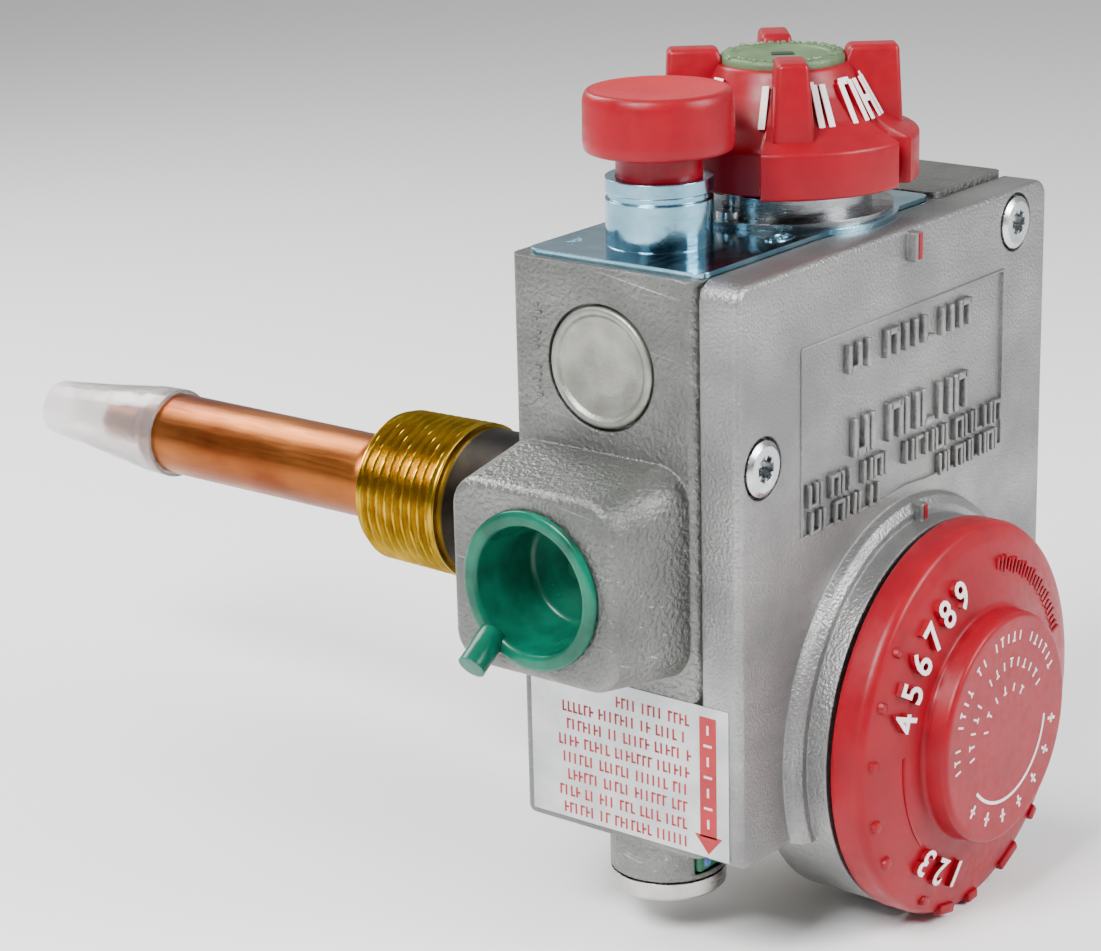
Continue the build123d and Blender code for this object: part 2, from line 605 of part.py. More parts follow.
def knob_insert():
    """Round insert with a screwdriver slot and a ring of raised dots."""
    z0 = TOP + KNOB_TOP - INSERT_T + 1.6
    disc = round_z(COCK, INSERT_R, z0, z0 + INSERT_T)
    disc = chamfer(disc.edges().group_by(Axis.Z)[-1], 0.3)
    return disc - (Pos(COCK[0], COCK[1], z0 + INSERT_T) * Box(2.6, 1.6, 2.4))


# ---- temperature dial and thermostat -----------------------------------------------------------
def temperature_dial():
    """Coned dial with a hollow back, a drive boss and the stop lug."""
    profile = [
        (0, DIAL_T), (HUB_R - 0.6, DIAL_T), (HUB_R, DIAL_T - 2.1), (DIAL_R - 3.6, DIAL_T - 3.6),
        (DIAL_R - 0.7, DIAL_T - 4.8), (DIAL_R, DIAL_T - 5.6), (DIAL_R - 0.3, 0), (DIAL_R - 2.8, 0),
        (DIAL_R - 3.4, DIAL_T - 6.4), (HUB_R - 1, DIAL_T - 4.4), (0, DIAL_T - 4.4),
    ]
    shell = turned(profile)
    boss = Cylinder(SCREW_R + 2.2, DIAL_T - 4.4 - 0.8, align=(Align.CENTER, Align.CENTER, Align.MIN))
    shell += Pos(0, 0, 1.2) * boss
    shell -= Pos(0, 0, -1) * Cylinder(SCREW_R + 0.0, DIAL_T - 3.6 + 1 - 0.8, align=(Align.CENTER, Align.CENTER, Align.MIN))
    lug = Pos(STOP_R, 0, DIAL_T - 8.8 + 2.4) * Box(3.4, LUG_W, 4.8)
    half_lug = math.asin(LUG_W / 2 / STOP_R)
    half_pin = math.asin((STOP_PIN_R + FREE) / STOP_R)
    dial = shell + Rot(0, 0, 90 - math.degrees(half_lug + half_pin)) * lug
    return facing_front(dial, DIAL, FRONT - DIAL_BACK)


def stop_pin():
    """Pin in the cover that limits the dial's turn."""
    return round_y(STOP_PIN, STOP_PIN_R, FRONT - DIAL_BACK - 3.0, FRONT + 1.6)


def dial_cap():
    """Round cap on the dial's hub."""
    cap = turned([(0, DIAL_T + 0.001), (HUB_R - 1.4, DIAL_T + 0.001), (HUB_R - 1.4, DIAL_T + HUB_T - 0.5),
                  (HUB_R - 1.9, DIAL_T + HUB_T), (0, DIAL_T + HUB_T)])
    return facing_front(cap, DIAL, FRONT - DIAL_BACK)


def adjusting_screw():
    """Screw driven by the dial. Its tip bears on the lever."""
    start = FRONT - DIAL_BACK - (DIAL_T - 4.4) + 0.2
    return round_y(DIAL, SCREW_R, start, LEVER_Y - 3) + round_y(DIAL, SCREW_R - 0.05, LEVER_Y - 3.5,
                                                                LEVER_Y - SCREW_ADVANCE - 0.1, 1.0)


def thermostat_lever():
    """Flat lever from the rod to the adjusting screw."""
    tilt = math.degrees(math.atan2(DIAL[1], DIAL[0]))
    bar = Box(LEVER_LENGTH + LEVER_W, LEVER_T, LEVER_W)
    bar = fillet(bar.edges().filter_by(Axis.Y), LEVER_W / 2 - 0.1)
    placed = Pos(VALVE[0], LEVER_Y + LEVER_T / 2, VALVE[1]) * Rot(0, -tilt, 0) * bar
    button = round_y(VALVE, 1.6, LEVER_Y - 1.0, LEVER_Y + 0.5)
    return placed + button


def snap_disc():
    """Shallow dished spring disc that clicks the valve open."""
    y0 = LEVER_Y - 1.5
    disc = turned([(1.2, 0), (SNAP_R, 1.0), (SNAP_R, 1.4), (1.2, 0.4)])
    return Pos(VALVE[0], y0, VALVE[1]) * Rot(90, 0, 0) * disc


def clicker_frame():
    """Ring on the valve plate that holds the rim of the snap disc."""
    y0 = PLATE_Y + VALVE_PLATE_T
    ring = round_y(VALVE, SNAP_R + 1.6, y0, LEVER_Y - 3.0) - round_y(VALVE, SNAP_R - 1.2, y0 - 1, LEVER_Y)
    return ring


def valve_plate():
    """Plate across the thermostat room, with the main valve's seat."""
    reach = PLATE_STEP - 0.2
    left = BUTTON[0] + CHAMBER_R + WEB - reach
    right = RIGHT - SCREW_CORNER - 6.5 + reach
    ceiling = COCK_END - WEB + reach
    floor = BOTTOM + 2 * WALL - reach
    plate = slab(left, right, PLATE_Y, PLATE_Y + VALVE_PLATE_T, floor, ceiling)
    plate = fillet(plate.edges().filter_by(Axis.Y), 2.5)
    plate += round_y(VALVE, VALVE_R - 0.8, PLATE_Y - 0.8, PLATE_Y + 0.5)
    plate -= round_y(VALVE, VALVE_R - 2.0, PLATE_Y - 3, PLATE_Y + 9)
    plate -= round_y(DIAL, SCREW_R + FREE, PLATE_Y - 3, PLATE_Y + 9)
    for place in screw_places():
        plate -= round_y(place, PILLAR_R + 0.2, PLATE_Y - 3, PLATE_Y + 9)
    return plate


def main_valve():
    """Valve disc with its stem towards the snap disc."""
    disc = round_y(VALVE, VALVE_R, PLATE_Y - 0.8 - VALVE_T, PLATE_Y - 0.8)
    stem = round_y(VALVE, 0.9, PLATE_Y - 1.2, LEVER_Y - 1.9)
    return disc + stem


def main_valve_spring():
    base = FRONT + WALL
    free = PLATE_Y - 0.8 - VALVE_T - base
    return Pos(VALVE[0], base + 0.1, VALVE[1]) * Rot(-90, 0, 0) * coil(3.8, 0.4, free - 0.2, 4)


# ---- shank and sensing tube --------------------------------------------------------------------
def tank_shank():
    shank = round_y((0, 0), SHANK_R, BACK, THREAD_END - THREAD_L)
    shank += round_y((0, 0), THREAD_R, THREAD_END - THREAD_L, THREAD_END)
    shank = chamfer(shank.edges().group_by(Axis.Y)[-1], 0.7)
    shank += round_y((0, 0), SHANK_R - 2, BACK - 8, BACK + 1)
    shank -= round_y((0, 0), TUBE_R + RUN, THREAD_END - TUBE_GRIP, THREAD_END + 1)
    return shank - round_y((0, 0), TUBE_R - 2, BACK - 9, THREAD_END)


def sensing_tube():
    """Copper tube with a drawn nose, held in the shank."""
    start = THREAD_END - TUBE_GRIP
    shoulder = 3.5
    profile = [
        (TUBE_R - TUBE_WALL, 0), (TUBE_R, 0), (TUBE_R, TUBE_END - start), (NOSE_R + 0.4, TUBE_END - start + shoulder),
        (NOSE_R, TUBE_END - start + shoulder + 0.6), (NOSE_R, TUBE_END - start + NOSE_L), (0, TUBE_END - start + NOSE_L),
        (0, TUBE_END - start + NOSE_L - 1.5), (ROD_R + RUN, TUBE_END - start + NOSE_L - 1.5),
        (ROD_R + RUN, TUBE_END - start + shoulder), (TUBE_R - TUBE_WALL, TUBE_END - start - 1.2),
    ]
    return Pos(0, start, 0) * Rot(-90, 0, 0) * turned(profile)


def sensing_rod():
    """Low-expansion rod from the nose to the lever."""
    rod = round_y((0, 0), ROD_R, LEVER_Y + LEVER_T, TUBE_END + NOSE_L - 1.5 - ROD_TRAVEL - 0.1)
    return fillet(rod.edges().group_by(Axis.Y)[0], ROD_R - 0.2)


def cut_off_link():
    """Single-use thermal link beside the rod, at the tube's end."""
    return round_y((-4.3, 0), 1.5, TUBE_END - 16, TUBE_END - 5)


def link_leads():
    """Two insulated leads from the link back through the tube and the shank."""
    return [round_y((-4.3, z), 0.5, BACK - 6, TUBE_END - 16) for z in (-0.7, 0.7)]


def tube_guard():
    """Clear shipping sleeve pushed over the tube's end."""
    start = TUBE_END - GUARD_GRIP
    outer = TUBE_R + RUN + GUARD_WALL
    tip = GUARD_TIP_R
    profile = [
        (outer - GUARD_WALL, 0), (outer, 0), (outer, GUARD_GRIP), (tip, GUARD_L), (tip - GUARD_WALL, GUARD_L),
        (outer - GUARD_WALL, GUARD_GRIP + 0.2),
    ]
    return Pos(0, start, 0) * Rot(-90, 0, 0) * turned(profile)


# ---- inlet, side plug, outlets and label -------------------------------------------------------
def inlet_plug():
    """Moulded plug with a rim, a hollow body and a pull tab."""
    rim_r = INLET_R + 1.9
    body_l = INLET_L - 2.5
    profile = [
        (0, 0), (INLET_R - 2.2, 0), (INLET_R - RUN, 2.0), (INLET_R - RUN, body_l), (rim_r - 0.3, body_l),
        (rim_r, body_l + 0.3), (rim_r, body_l + 0.9), (rim_r - 0.4, body_l + 1.2), (INLET_R - 0.6, body_l + 1.2),
        (INLET_R - 1.2, 1.6), (0, 1.6),
    ]
    cup = turned(profile)
    gate = Pos(0, 0, 1.9) * Cylinder(1.6, 1.2)
    plug = Pos(BOSS_FACE + body_l, *INLET) * Rot(0, -90, 0) * (cup + gate)
    lean = math.radians(TAB_ANGLE)
    root = Vector(BOSS_FACE - 0.8, INLET[0] + (rim_r - 1) * math.cos(lean), INLET[1] - (rim_r - 1) * math.sin(lean))
    out = Plane(origin=root, z_dir=(-6, 0, -4))
    tab = out * Pos(0, 0, 2.4) * Cylinder(TAB_R, 7.0)
    return plug + (tab & slab(BOSS_FACE - 20, BOSS_FACE - 0.02, INLET[0] - 30, INLET[0] + 30, BOTTOM, TOP))


def inlet_screen():
    """Mesh disc at the bottom of the threaded port."""
    x0 = BOSS_FACE + INLET_L - 1.2
    ring = round_x(INLET, INLET_R, x0, x0 + 1.0) - round_x(INLET, INLET_R - 2.5, x0 - 1, x0 + 3)
    return ring + round_x(INLET, INLET_R - 2.3, x0 + 0.3, x0 + 0.7)


def side_plug():
    """Dished metal plug pressed into the left face."""
    side = (PARTING + DISC_PLUG_BACK, TOP - DISC_PLUG_DOWN)
    disc = round_x(side, DISC_PLUG_R, LEFT - 0.3, LEFT + 1.2)
    dish = Pos(LEFT - 0.3 - 39.2, *side) * Sphere(40.0)
    return disc - dish


def pilot_filter():
    side = (PARTING + DISC_PLUG_BACK, TOP - DISC_PLUG_DOWN)
    return round_x(side, DISC_PLUG_R - 1.7, LEFT + 1.3, LEFT + 1.1 + FILTER_DEPTH)


def outlet_fitting(from_left, port_r, port_l, wall, hexagon):
    """Brass outlet let into the underside, with its port facing down."""
    centre = (LEFT + from_left, PARTING + OUTLET_BACK)
    lower = BOTTOM - 3.0
    body = round_z(centre, port_r + wall, lower + 1, BOTTOM + 2 * WALL - 1.6)
    flats = Pos(*centre, lower) * extrude(RegularPolygon(hexagon, 6), 3.0)
    body += flats
    body -= round_z(centre, port_r, lower - 1, lower + port_l)
    return body - round_z(centre, port_r * 0.45, lower, BOTTOM + 9)


def foil_label():
    """Foil across the side of the body and the edge of the cover."""
    label = slab(LEFT - LABEL_T, LEFT, FRONT + 2.0, BACK - CORNER_R, BOTTOM + 1.4, BOTTOM + 25.4)
    return label


def main():
    os.makedirs("parts", exist_ok=True)
    save("body_casting", body_casting())
    save("front_cover", front_cover())
    save("cover_gasket", cover_gasket())
    save("cover_screws", *cover_screws())
    save("top_plate", top_plate())
    save("plate_screws", *plate_screws())
    save("reset_button", reset_button())
    save("push_rod", push_rod())
    save("rod_seal", rod_seal())
    save("seal_retainer", seal_retainer())
    save("reset_spring", reset_spring())
    save("safety_seat", safety_seat())
    save("safety_disc", safety_disc())
    save("armature", armature())
    save("safety_spring", safety_spring())
    save("magnet_can", magnet_can())
    save("magnet_core", magnet_core())
    save("magnet_coil", *magnet_coil())
    save("magnet_base", magnet_base())
    save("neck_nut", neck_nut())
    save("wire_connector", wire_connector())
    save("cock_plug", cock_plug())
    save("cock_stem", cock_stem())
    save("cock_spring", cock_spring())
    save("cock_bonnet", cock_bonnet())
    save("gas_cock_knob", gas_cock_knob())
    save("knob_insert", knob_insert())
    save("temperature_dial", temperature_dial())
    save("dial_cap", dial_cap())
    save("stop_pin", stop_pin())
    save("adjusting_screw", adjusting_screw())
    save("thermostat_lever", thermostat_lever())
    save("snap_disc", snap_disc())
    save("clicker_frame", clicker_frame())
    save("valve_plate", valve_plate())
    save("main_valve", main_valve())
    save("main_valve_spring", main_valve_spring())
    save("tank_shank", tank_shank())
    save("sensing_tube", sensing_tube())
    save("sensing_rod", sensing_rod())
    save("cut_off_link", cut_off_link())
    save("link_leads", *link_leads())
    save("tube_guard", tube_guard())
    save("inlet_plug", inlet_plug())
    save("inlet_screen", inlet_screen())
    save("side_plug", side_plug())
    save("pilot_filter", pilot_filter())
    save("burner_outlet", outlet_fitting(BURNER_IN, BURNER_R, BURNER_L, 1.9, 11.5))
    save("pilot_outlet", outlet_fitting(PILOT_IN, PILOT_R, PILOT_L, 1.5, 6.2))
    save("foil_label", foil_label())


main()
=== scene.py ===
# %% [markdown]
# # A gas valve of a water heater
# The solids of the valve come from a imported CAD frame: castings, plate, neck, screws and everything inside.
# This notebook gives them their finishes, and replaces the pieces whose looks need more than plain solids:
# the threaded shank, the copper tube, the knobs, the plug and the printed and embossed marks. All sizes
# below are in millimetres, and become metres only when a mesh is made.

# %% Load the frame
import math

import bmesh
import bpy
import numpy as np
from mathutils import Matrix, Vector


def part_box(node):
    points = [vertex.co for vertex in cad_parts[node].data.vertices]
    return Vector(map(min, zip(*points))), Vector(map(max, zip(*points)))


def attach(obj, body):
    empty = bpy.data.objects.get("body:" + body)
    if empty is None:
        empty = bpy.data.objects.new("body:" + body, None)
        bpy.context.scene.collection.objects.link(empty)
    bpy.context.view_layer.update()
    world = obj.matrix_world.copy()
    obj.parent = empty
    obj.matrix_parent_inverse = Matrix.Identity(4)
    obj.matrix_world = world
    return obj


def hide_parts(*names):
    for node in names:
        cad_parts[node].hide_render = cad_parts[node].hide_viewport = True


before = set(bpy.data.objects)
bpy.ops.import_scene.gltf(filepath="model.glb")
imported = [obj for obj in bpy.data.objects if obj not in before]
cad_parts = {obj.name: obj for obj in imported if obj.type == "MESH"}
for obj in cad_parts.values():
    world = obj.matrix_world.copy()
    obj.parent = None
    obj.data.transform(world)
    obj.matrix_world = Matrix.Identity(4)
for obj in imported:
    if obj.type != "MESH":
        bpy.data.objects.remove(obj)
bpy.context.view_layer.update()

MM = 0.001


# %% Places read from the frame
def corners(node):
    """Lowest and highest corner of a CAD node, in millimetres."""
    low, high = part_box(node)
    return np.array(low) / MM, np.array(high) / MM


def middle(node):
    """Centre of a CAD node's box, in millimetres."""
    low, high = corners(node)
    return (low + high) / 2


BODY_LOW, BODY_HIGH = corners("body_casting")
COVER_LOW, COVER_HIGH = corners("front_cover")
SHANK_LOW, SHANK_HIGH = corners("tank_shank")
TUBE_LOW, TUBE_HIGH = corners("sensing_tube")
GUARD_LOW, GUARD_HIGH = corners("tube_guard")
CAP_LOW, CAP_HIGH = corners("reset_button")
KNOB_LOW, KNOB_HIGH = corners("gas_cock_knob")
INSERT_LOW, INSERT_HIGH = corners("knob_insert")
DIAL_LOW, DIAL_HIGH = corners("temperature_dial")
HUB_LOW, HUB_HIGH = corners("dial_cap")
LABEL_LOW, LABEL_HIGH = corners("foil_label")

SCREW_HEAD_PROUD = 0.6
PLATE_TOP = corners("cock_bonnet")[0][2]
LEFT_FACE = LABEL_HIGH[0]
COVER_FACE = corners("cover_screws")[0][1] + SCREW_HEAD_PROUD
BUTTON = middle("reset_button")
COCK = middle("knob_insert")
DIAL = middle("dial_cap")
INLET = middle("inlet_screen")
print("plate top", PLATE_TOP, "left face", LEFT_FACE, "cover face", COVER_FACE)

# %% [markdown]
# ## Camera
# The camera looks down a little from the left of the front cover, with a long lens. Its three axes are
# worked out from two angles and a slight roll, and go into its matrix as columns. An Empty with a Track To
# constraint would also aim it, but a matrix says exactly where it is.

# %% Camera
AZIMUTH, ELEVATION, ROLL = (math.radians(a) for a in (-51.554, 17.571, -1.475))
back = np.array([math.sin(AZIMUTH) * math.cos(ELEVATION), -math.cos(AZIMUTH) * math.cos(ELEVATION),
                 math.sin(ELEVATION)])
level = np.array([math.cos(AZIMUTH), math.sin(AZIMUTH), 0.0])
upright = np.cross(back, level)
camera_x = math.cos(ROLL) * level + math.sin(ROLL) * upright
camera_y = -math.sin(ROLL) * level + math.cos(ROLL) * upright

camera = bpy.data.objects.new("camera", bpy.data.cameras.new("camera"))
bpy.context.scene.collection.objects.link(camera)
matrix = np.eye(4)
matrix[:3, :3] = np.stack([camera_x, camera_y, back], axis=1)
matrix[:3, 3] = np.array([-361.69, -310.35, 153.17]) * MM
camera.matrix_world = Matrix(matrix.tolist())
camera.data.sensor_width = 36
camera.data.lens = 97.6
camera.data.clip_start = 0.01
bpy.context.scene.camera = camera
print("camera lens", camera.data.lens)


# %% [markdown]
# ## Finishes
# A finish is a Principled shader fed by a few texture nodes. All patterns read Object coordinates, which are
# metres, so a pattern with features of s millimetres has a scale of 1000 / s. Colours are sRGB hex codes, as
# a screen picks them, and one function turns them to linear light.

# %% Colour and node helpers
def linear(code):
    """Turns an sRGB hex colour to the linear values that shaders take."""
    value = np.array([int(code[i:i + 2], 16) for i in (0, 2, 4)]) / 255
    return (*np.where(value <= 0.04045, value / 12.92, ((value + 0.055) / 1.055) ** 2.4), 1.0)


def add(finish, kind, inputs=(), **settings):
    """Adds a node, sets its properties, then links its inputs, or sets them from numbers and hex codes."""
    node = finish.node_tree.nodes.new(kind)
    for name, value in settings.items():
        setattr(node, name, value)
    for socket, value in dict(inputs).items():
        if isinstance(value, bpy.types.NodeSocket):
            finish.node_tree.links.new(value, node.inputs[socket])
        else:
            node.inputs[socket].default_value = linear(value) if isinstance(value, str) else value
    return node


def new_finish(name, colour, roughness, metallic=0.0, **sockets):
    """A material with one Principled shader. Other sockets are given by name with _ for a space."""
    finish = bpy.data.materials.new(name)
    finish.use_nodes = True
    shader = finish.node_tree.nodes["Principled BSDF"]
    shader.inputs["Base Color"].default_value = linear(colour)
    shader.inputs["Roughness"].default_value = roughness
    shader.inputs["Metallic"].default_value = metallic
    for socket, value in sockets.items():
        shader.inputs[socket.replace("_", " ")].default_value = value
    return finish


def clouds(finish, size, detail=3.0, stretch=(1, 1, 1), low=0.35, high=0.65, lean=(0, 0, 0)):
    """A noise from 0 to 1 with features of size millimetres, finer along an axis where stretch is above 1.
    The axes are turned by the angles of lean first."""
    where = add(finish, "ShaderNodeTexCoord").outputs["Object"]
    scale = [1 / s for s in stretch]
    placed = add(finish, "ShaderNodeMapping", {"Vector": where, "Rotation": lean, "Scale": scale},
                 vector_type="TEXTURE").outputs[0]
    noise = add(finish, "ShaderNodeTexNoise", {"Vector": placed, "Scale": 1000 / size, "Detail": detail})
    return add(finish, "ShaderNodeMapRange", {0: noise.outputs[0], 1: low, 2: high}).outputs[0]


def feed(finish, socket, value):
    """Links a value to the shader's socket."""
    finish.node_tree.links.new(value, finish.node_tree.nodes["Principled BSDF"].inputs[socket])


def emboss(finish, height, depth, edge=0.0):
    """Bump of depth millimetres from a height, with sharp CAD edges softened over edge millimetres."""
    inputs = {"Height": height, "Distance": depth * MM, "Strength": 1.0}
    if edge:
        inputs["Normal"] = add(finish, "ShaderNodeBevel", {"Radius": edge * MM}, samples=4).outputs[0]
    feed(finish, "Normal", add(finish, "ShaderNodeBump", inputs).outputs[0])


def dress(finish, *nodes):
    """Puts a finish in every material slot of CAD nodes."""
    for name in nodes:
        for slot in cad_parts[name].material_slots:
            slot.material = finish


# %% [markdown]
# ### Cast and shot-blasted aluminium
# Both castings are die-cast aluminium. Blasting leaves a fine even grit, about half a millimetre, that scatters the
# light into a soft silver grey. Handling adds faint clouds and a few rubbed streaks. The grit is a bump,
# because it is relief; the clouds change colour and roughness a little.

# %% Castings
def cast_finish(name, pale, dark, rough, grain, depth, scratched):
    """Cast metal with clouds of 14 mm, worn streaks of 5 mm, and a grit of grain and depth millimetres. A scratch
    lies in its face, so each of the two sets shows only on faces that look along its axis."""
    finish = new_finish(name, pale, rough, metallic=0.86)
    stain = clouds(finish, 14, detail=5)
    grit = clouds(finish, grain, detail=3, low=0.3, high=0.7)
    streak = clouds(finish, 5, detail=4, stretch=(0.2, 0.2, 2.4), low=0.45, high=0.75)
    tone = add(finish, "ShaderNodeMix", {0: stain, 6: dark, 7: pale}, data_type="RGBA").outputs[2]
    for pattern, share in ((streak, 0.35), (grit, 0.4)):
        amount = add(finish, "ShaderNodeMapRange", {0: pattern, 3: 0.0, 4: share}).outputs[0]
        tone = add(finish, "ShaderNodeMix", {0: amount, 6: tone, 7: dark}, data_type="RGBA").outputs[2]
    normal = add(finish, "ShaderNodeTexCoord").outputs["Normal"]
    turned_to = add(finish, "ShaderNodeSeparateXYZ", {0: normal}).outputs
    rubbed = 0.0
    for axis, stretch, lean in ((0, (3, 0.05, 3), (0.16, 0, 0)), (1, (0.05, 3, 3), (0, 0.3, 0))):
        lines = clouds(finish, 1.7, detail=1, stretch=stretch, low=0.68, high=0.78, lean=lean)
        seen = add(finish, "ShaderNodeMath", {0: turned_to[axis]}, operation="ABSOLUTE").outputs[0]
        rubbed = add(finish, "ShaderNodeMath", {0: lines, 1: seen, 2: rubbed},
                     operation="MULTIPLY_ADD").outputs[0]
    amount = add(finish, "ShaderNodeMapRange", {0: rubbed, 3: 0.0, 4: scratched}).outputs[0]
    tone = add(finish, "ShaderNodeMix", {0: amount, 6: tone, 7: "d8d8d5"}, data_type="RGBA").outputs[2]
    roughness = add(finish, "ShaderNodeMapRange", {0: stain, 3: rough + 0.08, 4: rough - 0.06}).outputs[0]
    feed(finish, "Base Color", tone)
    feed(finish, "Roughness", roughness)
    emboss(finish, grit, depth, edge=0.5)
    return finish


cover_finish = cast_finish("cast_aluminium_blasted", "9d9d9c", "7d7d7d", 0.40, 0.5, 0.075, 0.12)
body_finish = cast_finish("cast_aluminium_raw", "838481", "646663", 0.42, 0.75, 0.13, 0.45)
dress(cover_finish, "front_cover")
dress(body_finish, "body_casting")
print("castings dressed")

# %% [markdown]
# ### Plated steel, brass, rubber and the rest
# Zinc plating is bright and slightly blue; its rolled base sheet shows fine lines. Turned parts get rings of
# roughness only. Hidden pieces have plain working finishes, each with its own small variation.


# %% Plated and turned metal
def metal_finish(name, colour, shade, rough, grain, stretch=(1, 1, 1), depth=0.004, edge=0.2):
    """Metal with a stretched grain of the given size in millimetres."""
    finish = new_finish(name, colour, rough, metallic=1.0)
    lines = clouds(finish, grain, detail=3, stretch=stretch)
    stain = clouds(finish, 9, detail=4)
    tone = add(finish, "ShaderNodeMix", {0: stain, 6: shade, 7: colour}, data_type="RGBA").outputs[2]
    roughness = add(finish, "ShaderNodeMapRange", {0: lines, 3: rough - 0.05, 4: rough + 0.07}).outputs[0]
    feed(finish, "Base Color", tone)
    feed(finish, "Roughness", roughness)
    emboss(finish, lines, depth, edge=edge)
    return finish


# Blue zinc plate: a cold bright mirror with faint rolling lines.
zinc = metal_finish("bright_zinc_plate", "9fc9da", "6a9cb4", 0.13, 1.2, stretch=(0.15, 1, 1), edge=0.25)
# Zinc on a cold-headed screw: greyer and softer, because the head is not rolled.
screw_zinc = metal_finish("zinc_plated_screws", "d6d8da", "b4b8ba", 0.26, 0.8)
# Pressed and plated collar: streaks run round it, so it flickers between bright and dark.
bonnet_steel = metal_finish("plated_pressed_steel", "a4a7aa", "84878a", 0.24, 0.7, stretch=(0.3, 0.3, 3))
# Turned aluminium: tool rings give it a soft sheen.
neck_metal = metal_finish("turned_aluminium", "d2d1cd", "b3b1ac", 0.28, 0.6, stretch=(0.2, 0.2, 3))
# Oiled spring steel: darker than the turned parts beside it.
spring_steel = metal_finish("spring_steel", "8d8f92", "6c6e70", 0.30, 0.8)
# Free-cutting steel from the lathe, machined brass, and wire with a brown enamel: working finishes inside.
turned_steel = metal_finish("turned_steel", "b9babc", "98999b", 0.28, 0.6)
plain_brass = metal_finish("machined_brass", "c9a458", "a98440", 0.30, 0.6)
coil_copper = metal_finish("enamelled_copper", "b06a3e", "8d4f2c", 0.35, 0.5)
dress(zinc, "top_plate", "valve_plate", "clicker_frame")
dress(screw_zinc, "cover_screws", "plate_screws")
dress(bonnet_steel, "cock_bonnet", "seal_retainer")
dress(neck_metal, "neck_nut", "magnet_base", "main_valve")
dress(spring_steel, "reset_spring", "safety_spring", "cock_spring", "main_valve_spring", "snap_disc",
      "thermostat_lever")
dress(turned_steel, "push_rod", "safety_seat", "armature", "magnet_can", "magnet_core", "cock_stem",
      "adjusting_screw", "stop_pin", "inlet_screen", "sensing_rod")
dress(plain_brass, "cock_plug", "burner_outlet", "pilot_outlet")
dress(coil_copper, "magnet_coil", "cut_off_link")


# %% Rubber, felt and sheet
def soft_finish(name, pale, dark, grain, rough=0.8, depth=0.03):
    """A matt finish with a small grain."""
    finish = new_finish(name, pale, rough)
    spots = clouds(finish, grain, detail=4)
    tone = add(finish, "ShaderNodeMix", {0: spots, 6: dark, 7: pale}, data_type="RGBA").outputs[2]
    feed(finish, "Base Color", tone)
    emboss(finish, spots, depth)
    return finish


dress(soft_finish("compressed_fibre_gasket", "4d4222", "2f2814", 0.6), "cover_gasket")
dress(soft_finish("nitrile_rubber", "26262a", "17171a", 0.5, 0.6), "rod_seal", "safety_disc")
dress(soft_finish("wool_felt", "cbc6b4", "a49e8a", 0.4, 0.95, 0.1), "pilot_filter")
dress(soft_finish("glass_sleeved_wire", "d6d2c4", "b5b09f", 0.4), "link_leads")
print("soft pieces dressed")

# %% [markdown]
# ## Shapes from numbers
# A new piece is one or more grids of points. Rows run along the shape and columns run round it, and the last
# column joins the first. Three functions make nearly all of them: a profile turned round an axis, a block
# with round edges, and a placing step. `skin` joins grids into one mesh, merges the doubles at poles and
# seams, and turns all faces out.


# %% Grid helpers
def rounded(profile, radius, steps=4):
    """Rounds the corners of an open profile: each is cut back by radius and bridged by the curve
    (1-t)^2 a + 2t(1-t) corner + t^2 b."""
    p = np.asarray(profile, float)
    corner = p[1:-1]

    def cut(towards):
        step = towards - corner
        length = np.linalg.norm(step, axis=1, keepdims=True)
        return corner + step / length * np.minimum(radius, 0.45 * length)

    a, b = cut(p[:-2]), cut(p[2:])
    t = np.linspace(0, 1, steps)[None, :, None]
    arcs = (1 - t) ** 2 * a[:, None] + 2 * t * (1 - t) * corner[:, None] + t ** 2 * b[:, None]
    return np.vstack([p[:1], arcs.reshape(-1, p.shape[1]), p[-1:]])


def turned(profile, angles=96):
    """Turns (radius, height) points about Z: x = r cos a, y = r sin a, z = h."""
    p = np.asarray(profile, float)
    a = np.linspace(0, 2 * np.pi, angles, endpoint=False) if np.isscalar(angles) else angles
    return np.stack([p[:, :1] * np.cos(a), p[:, :1] * np.sin(a), p[:, 1:2] + 0 * a], axis=-1)


def block(size, radius, steps=3):
    """A box with round edges: every point is an inner corner plus the radius times a unit normal."""
    half = np.asarray(size, float) / 2
    radius = min(radius, half.min() * 0.98)
    quarter = np.linspace(0, np.pi / 2, steps)
    around = np.concatenate([quarter + k * np.pi / 2 for k in range(4)])
    side = np.repeat([[1, 1], [-1, 1], [-1, -1], [1, -1]], steps, axis=0)
    up = np.concatenate([quarter - np.pi / 2, quarter])[:, None]
    flat = 0 * up * around
    normal = np.stack([np.cos(up) * np.cos(around), np.cos(up) * np.sin(around), np.sin(up) + flat], -1)
    sign = np.stack([flat + side[:, 0], flat + side[:, 1], np.repeat([-1, 1], steps)[:, None] + flat], -1)
    points = sign * (half - radius) + radius * normal
    return np.concatenate([points[:1] * [0, 0, 1], points, points[-1:] * [0, 0, 1]])


def put(grid, centre, x=(1, 0, 0), y=(0, 1, 0), z=(0, 0, 1)):
    """Places a grid made about the origin: point = centre + gx * x + gy * y + gz * z."""
    return np.asarray(grid) @ np.array([x, y, z], float) + np.asarray(centre, float)


def facing_front(grid, centre, face):
    """Lays a grid made about +Z along -Y, with its z = 0 at y = face. centre is any point on the axis."""
    return put(grid, (centre[0], face, centre[2]), (1, 0, 0), (0, 0, 1), (0, -1, 0))


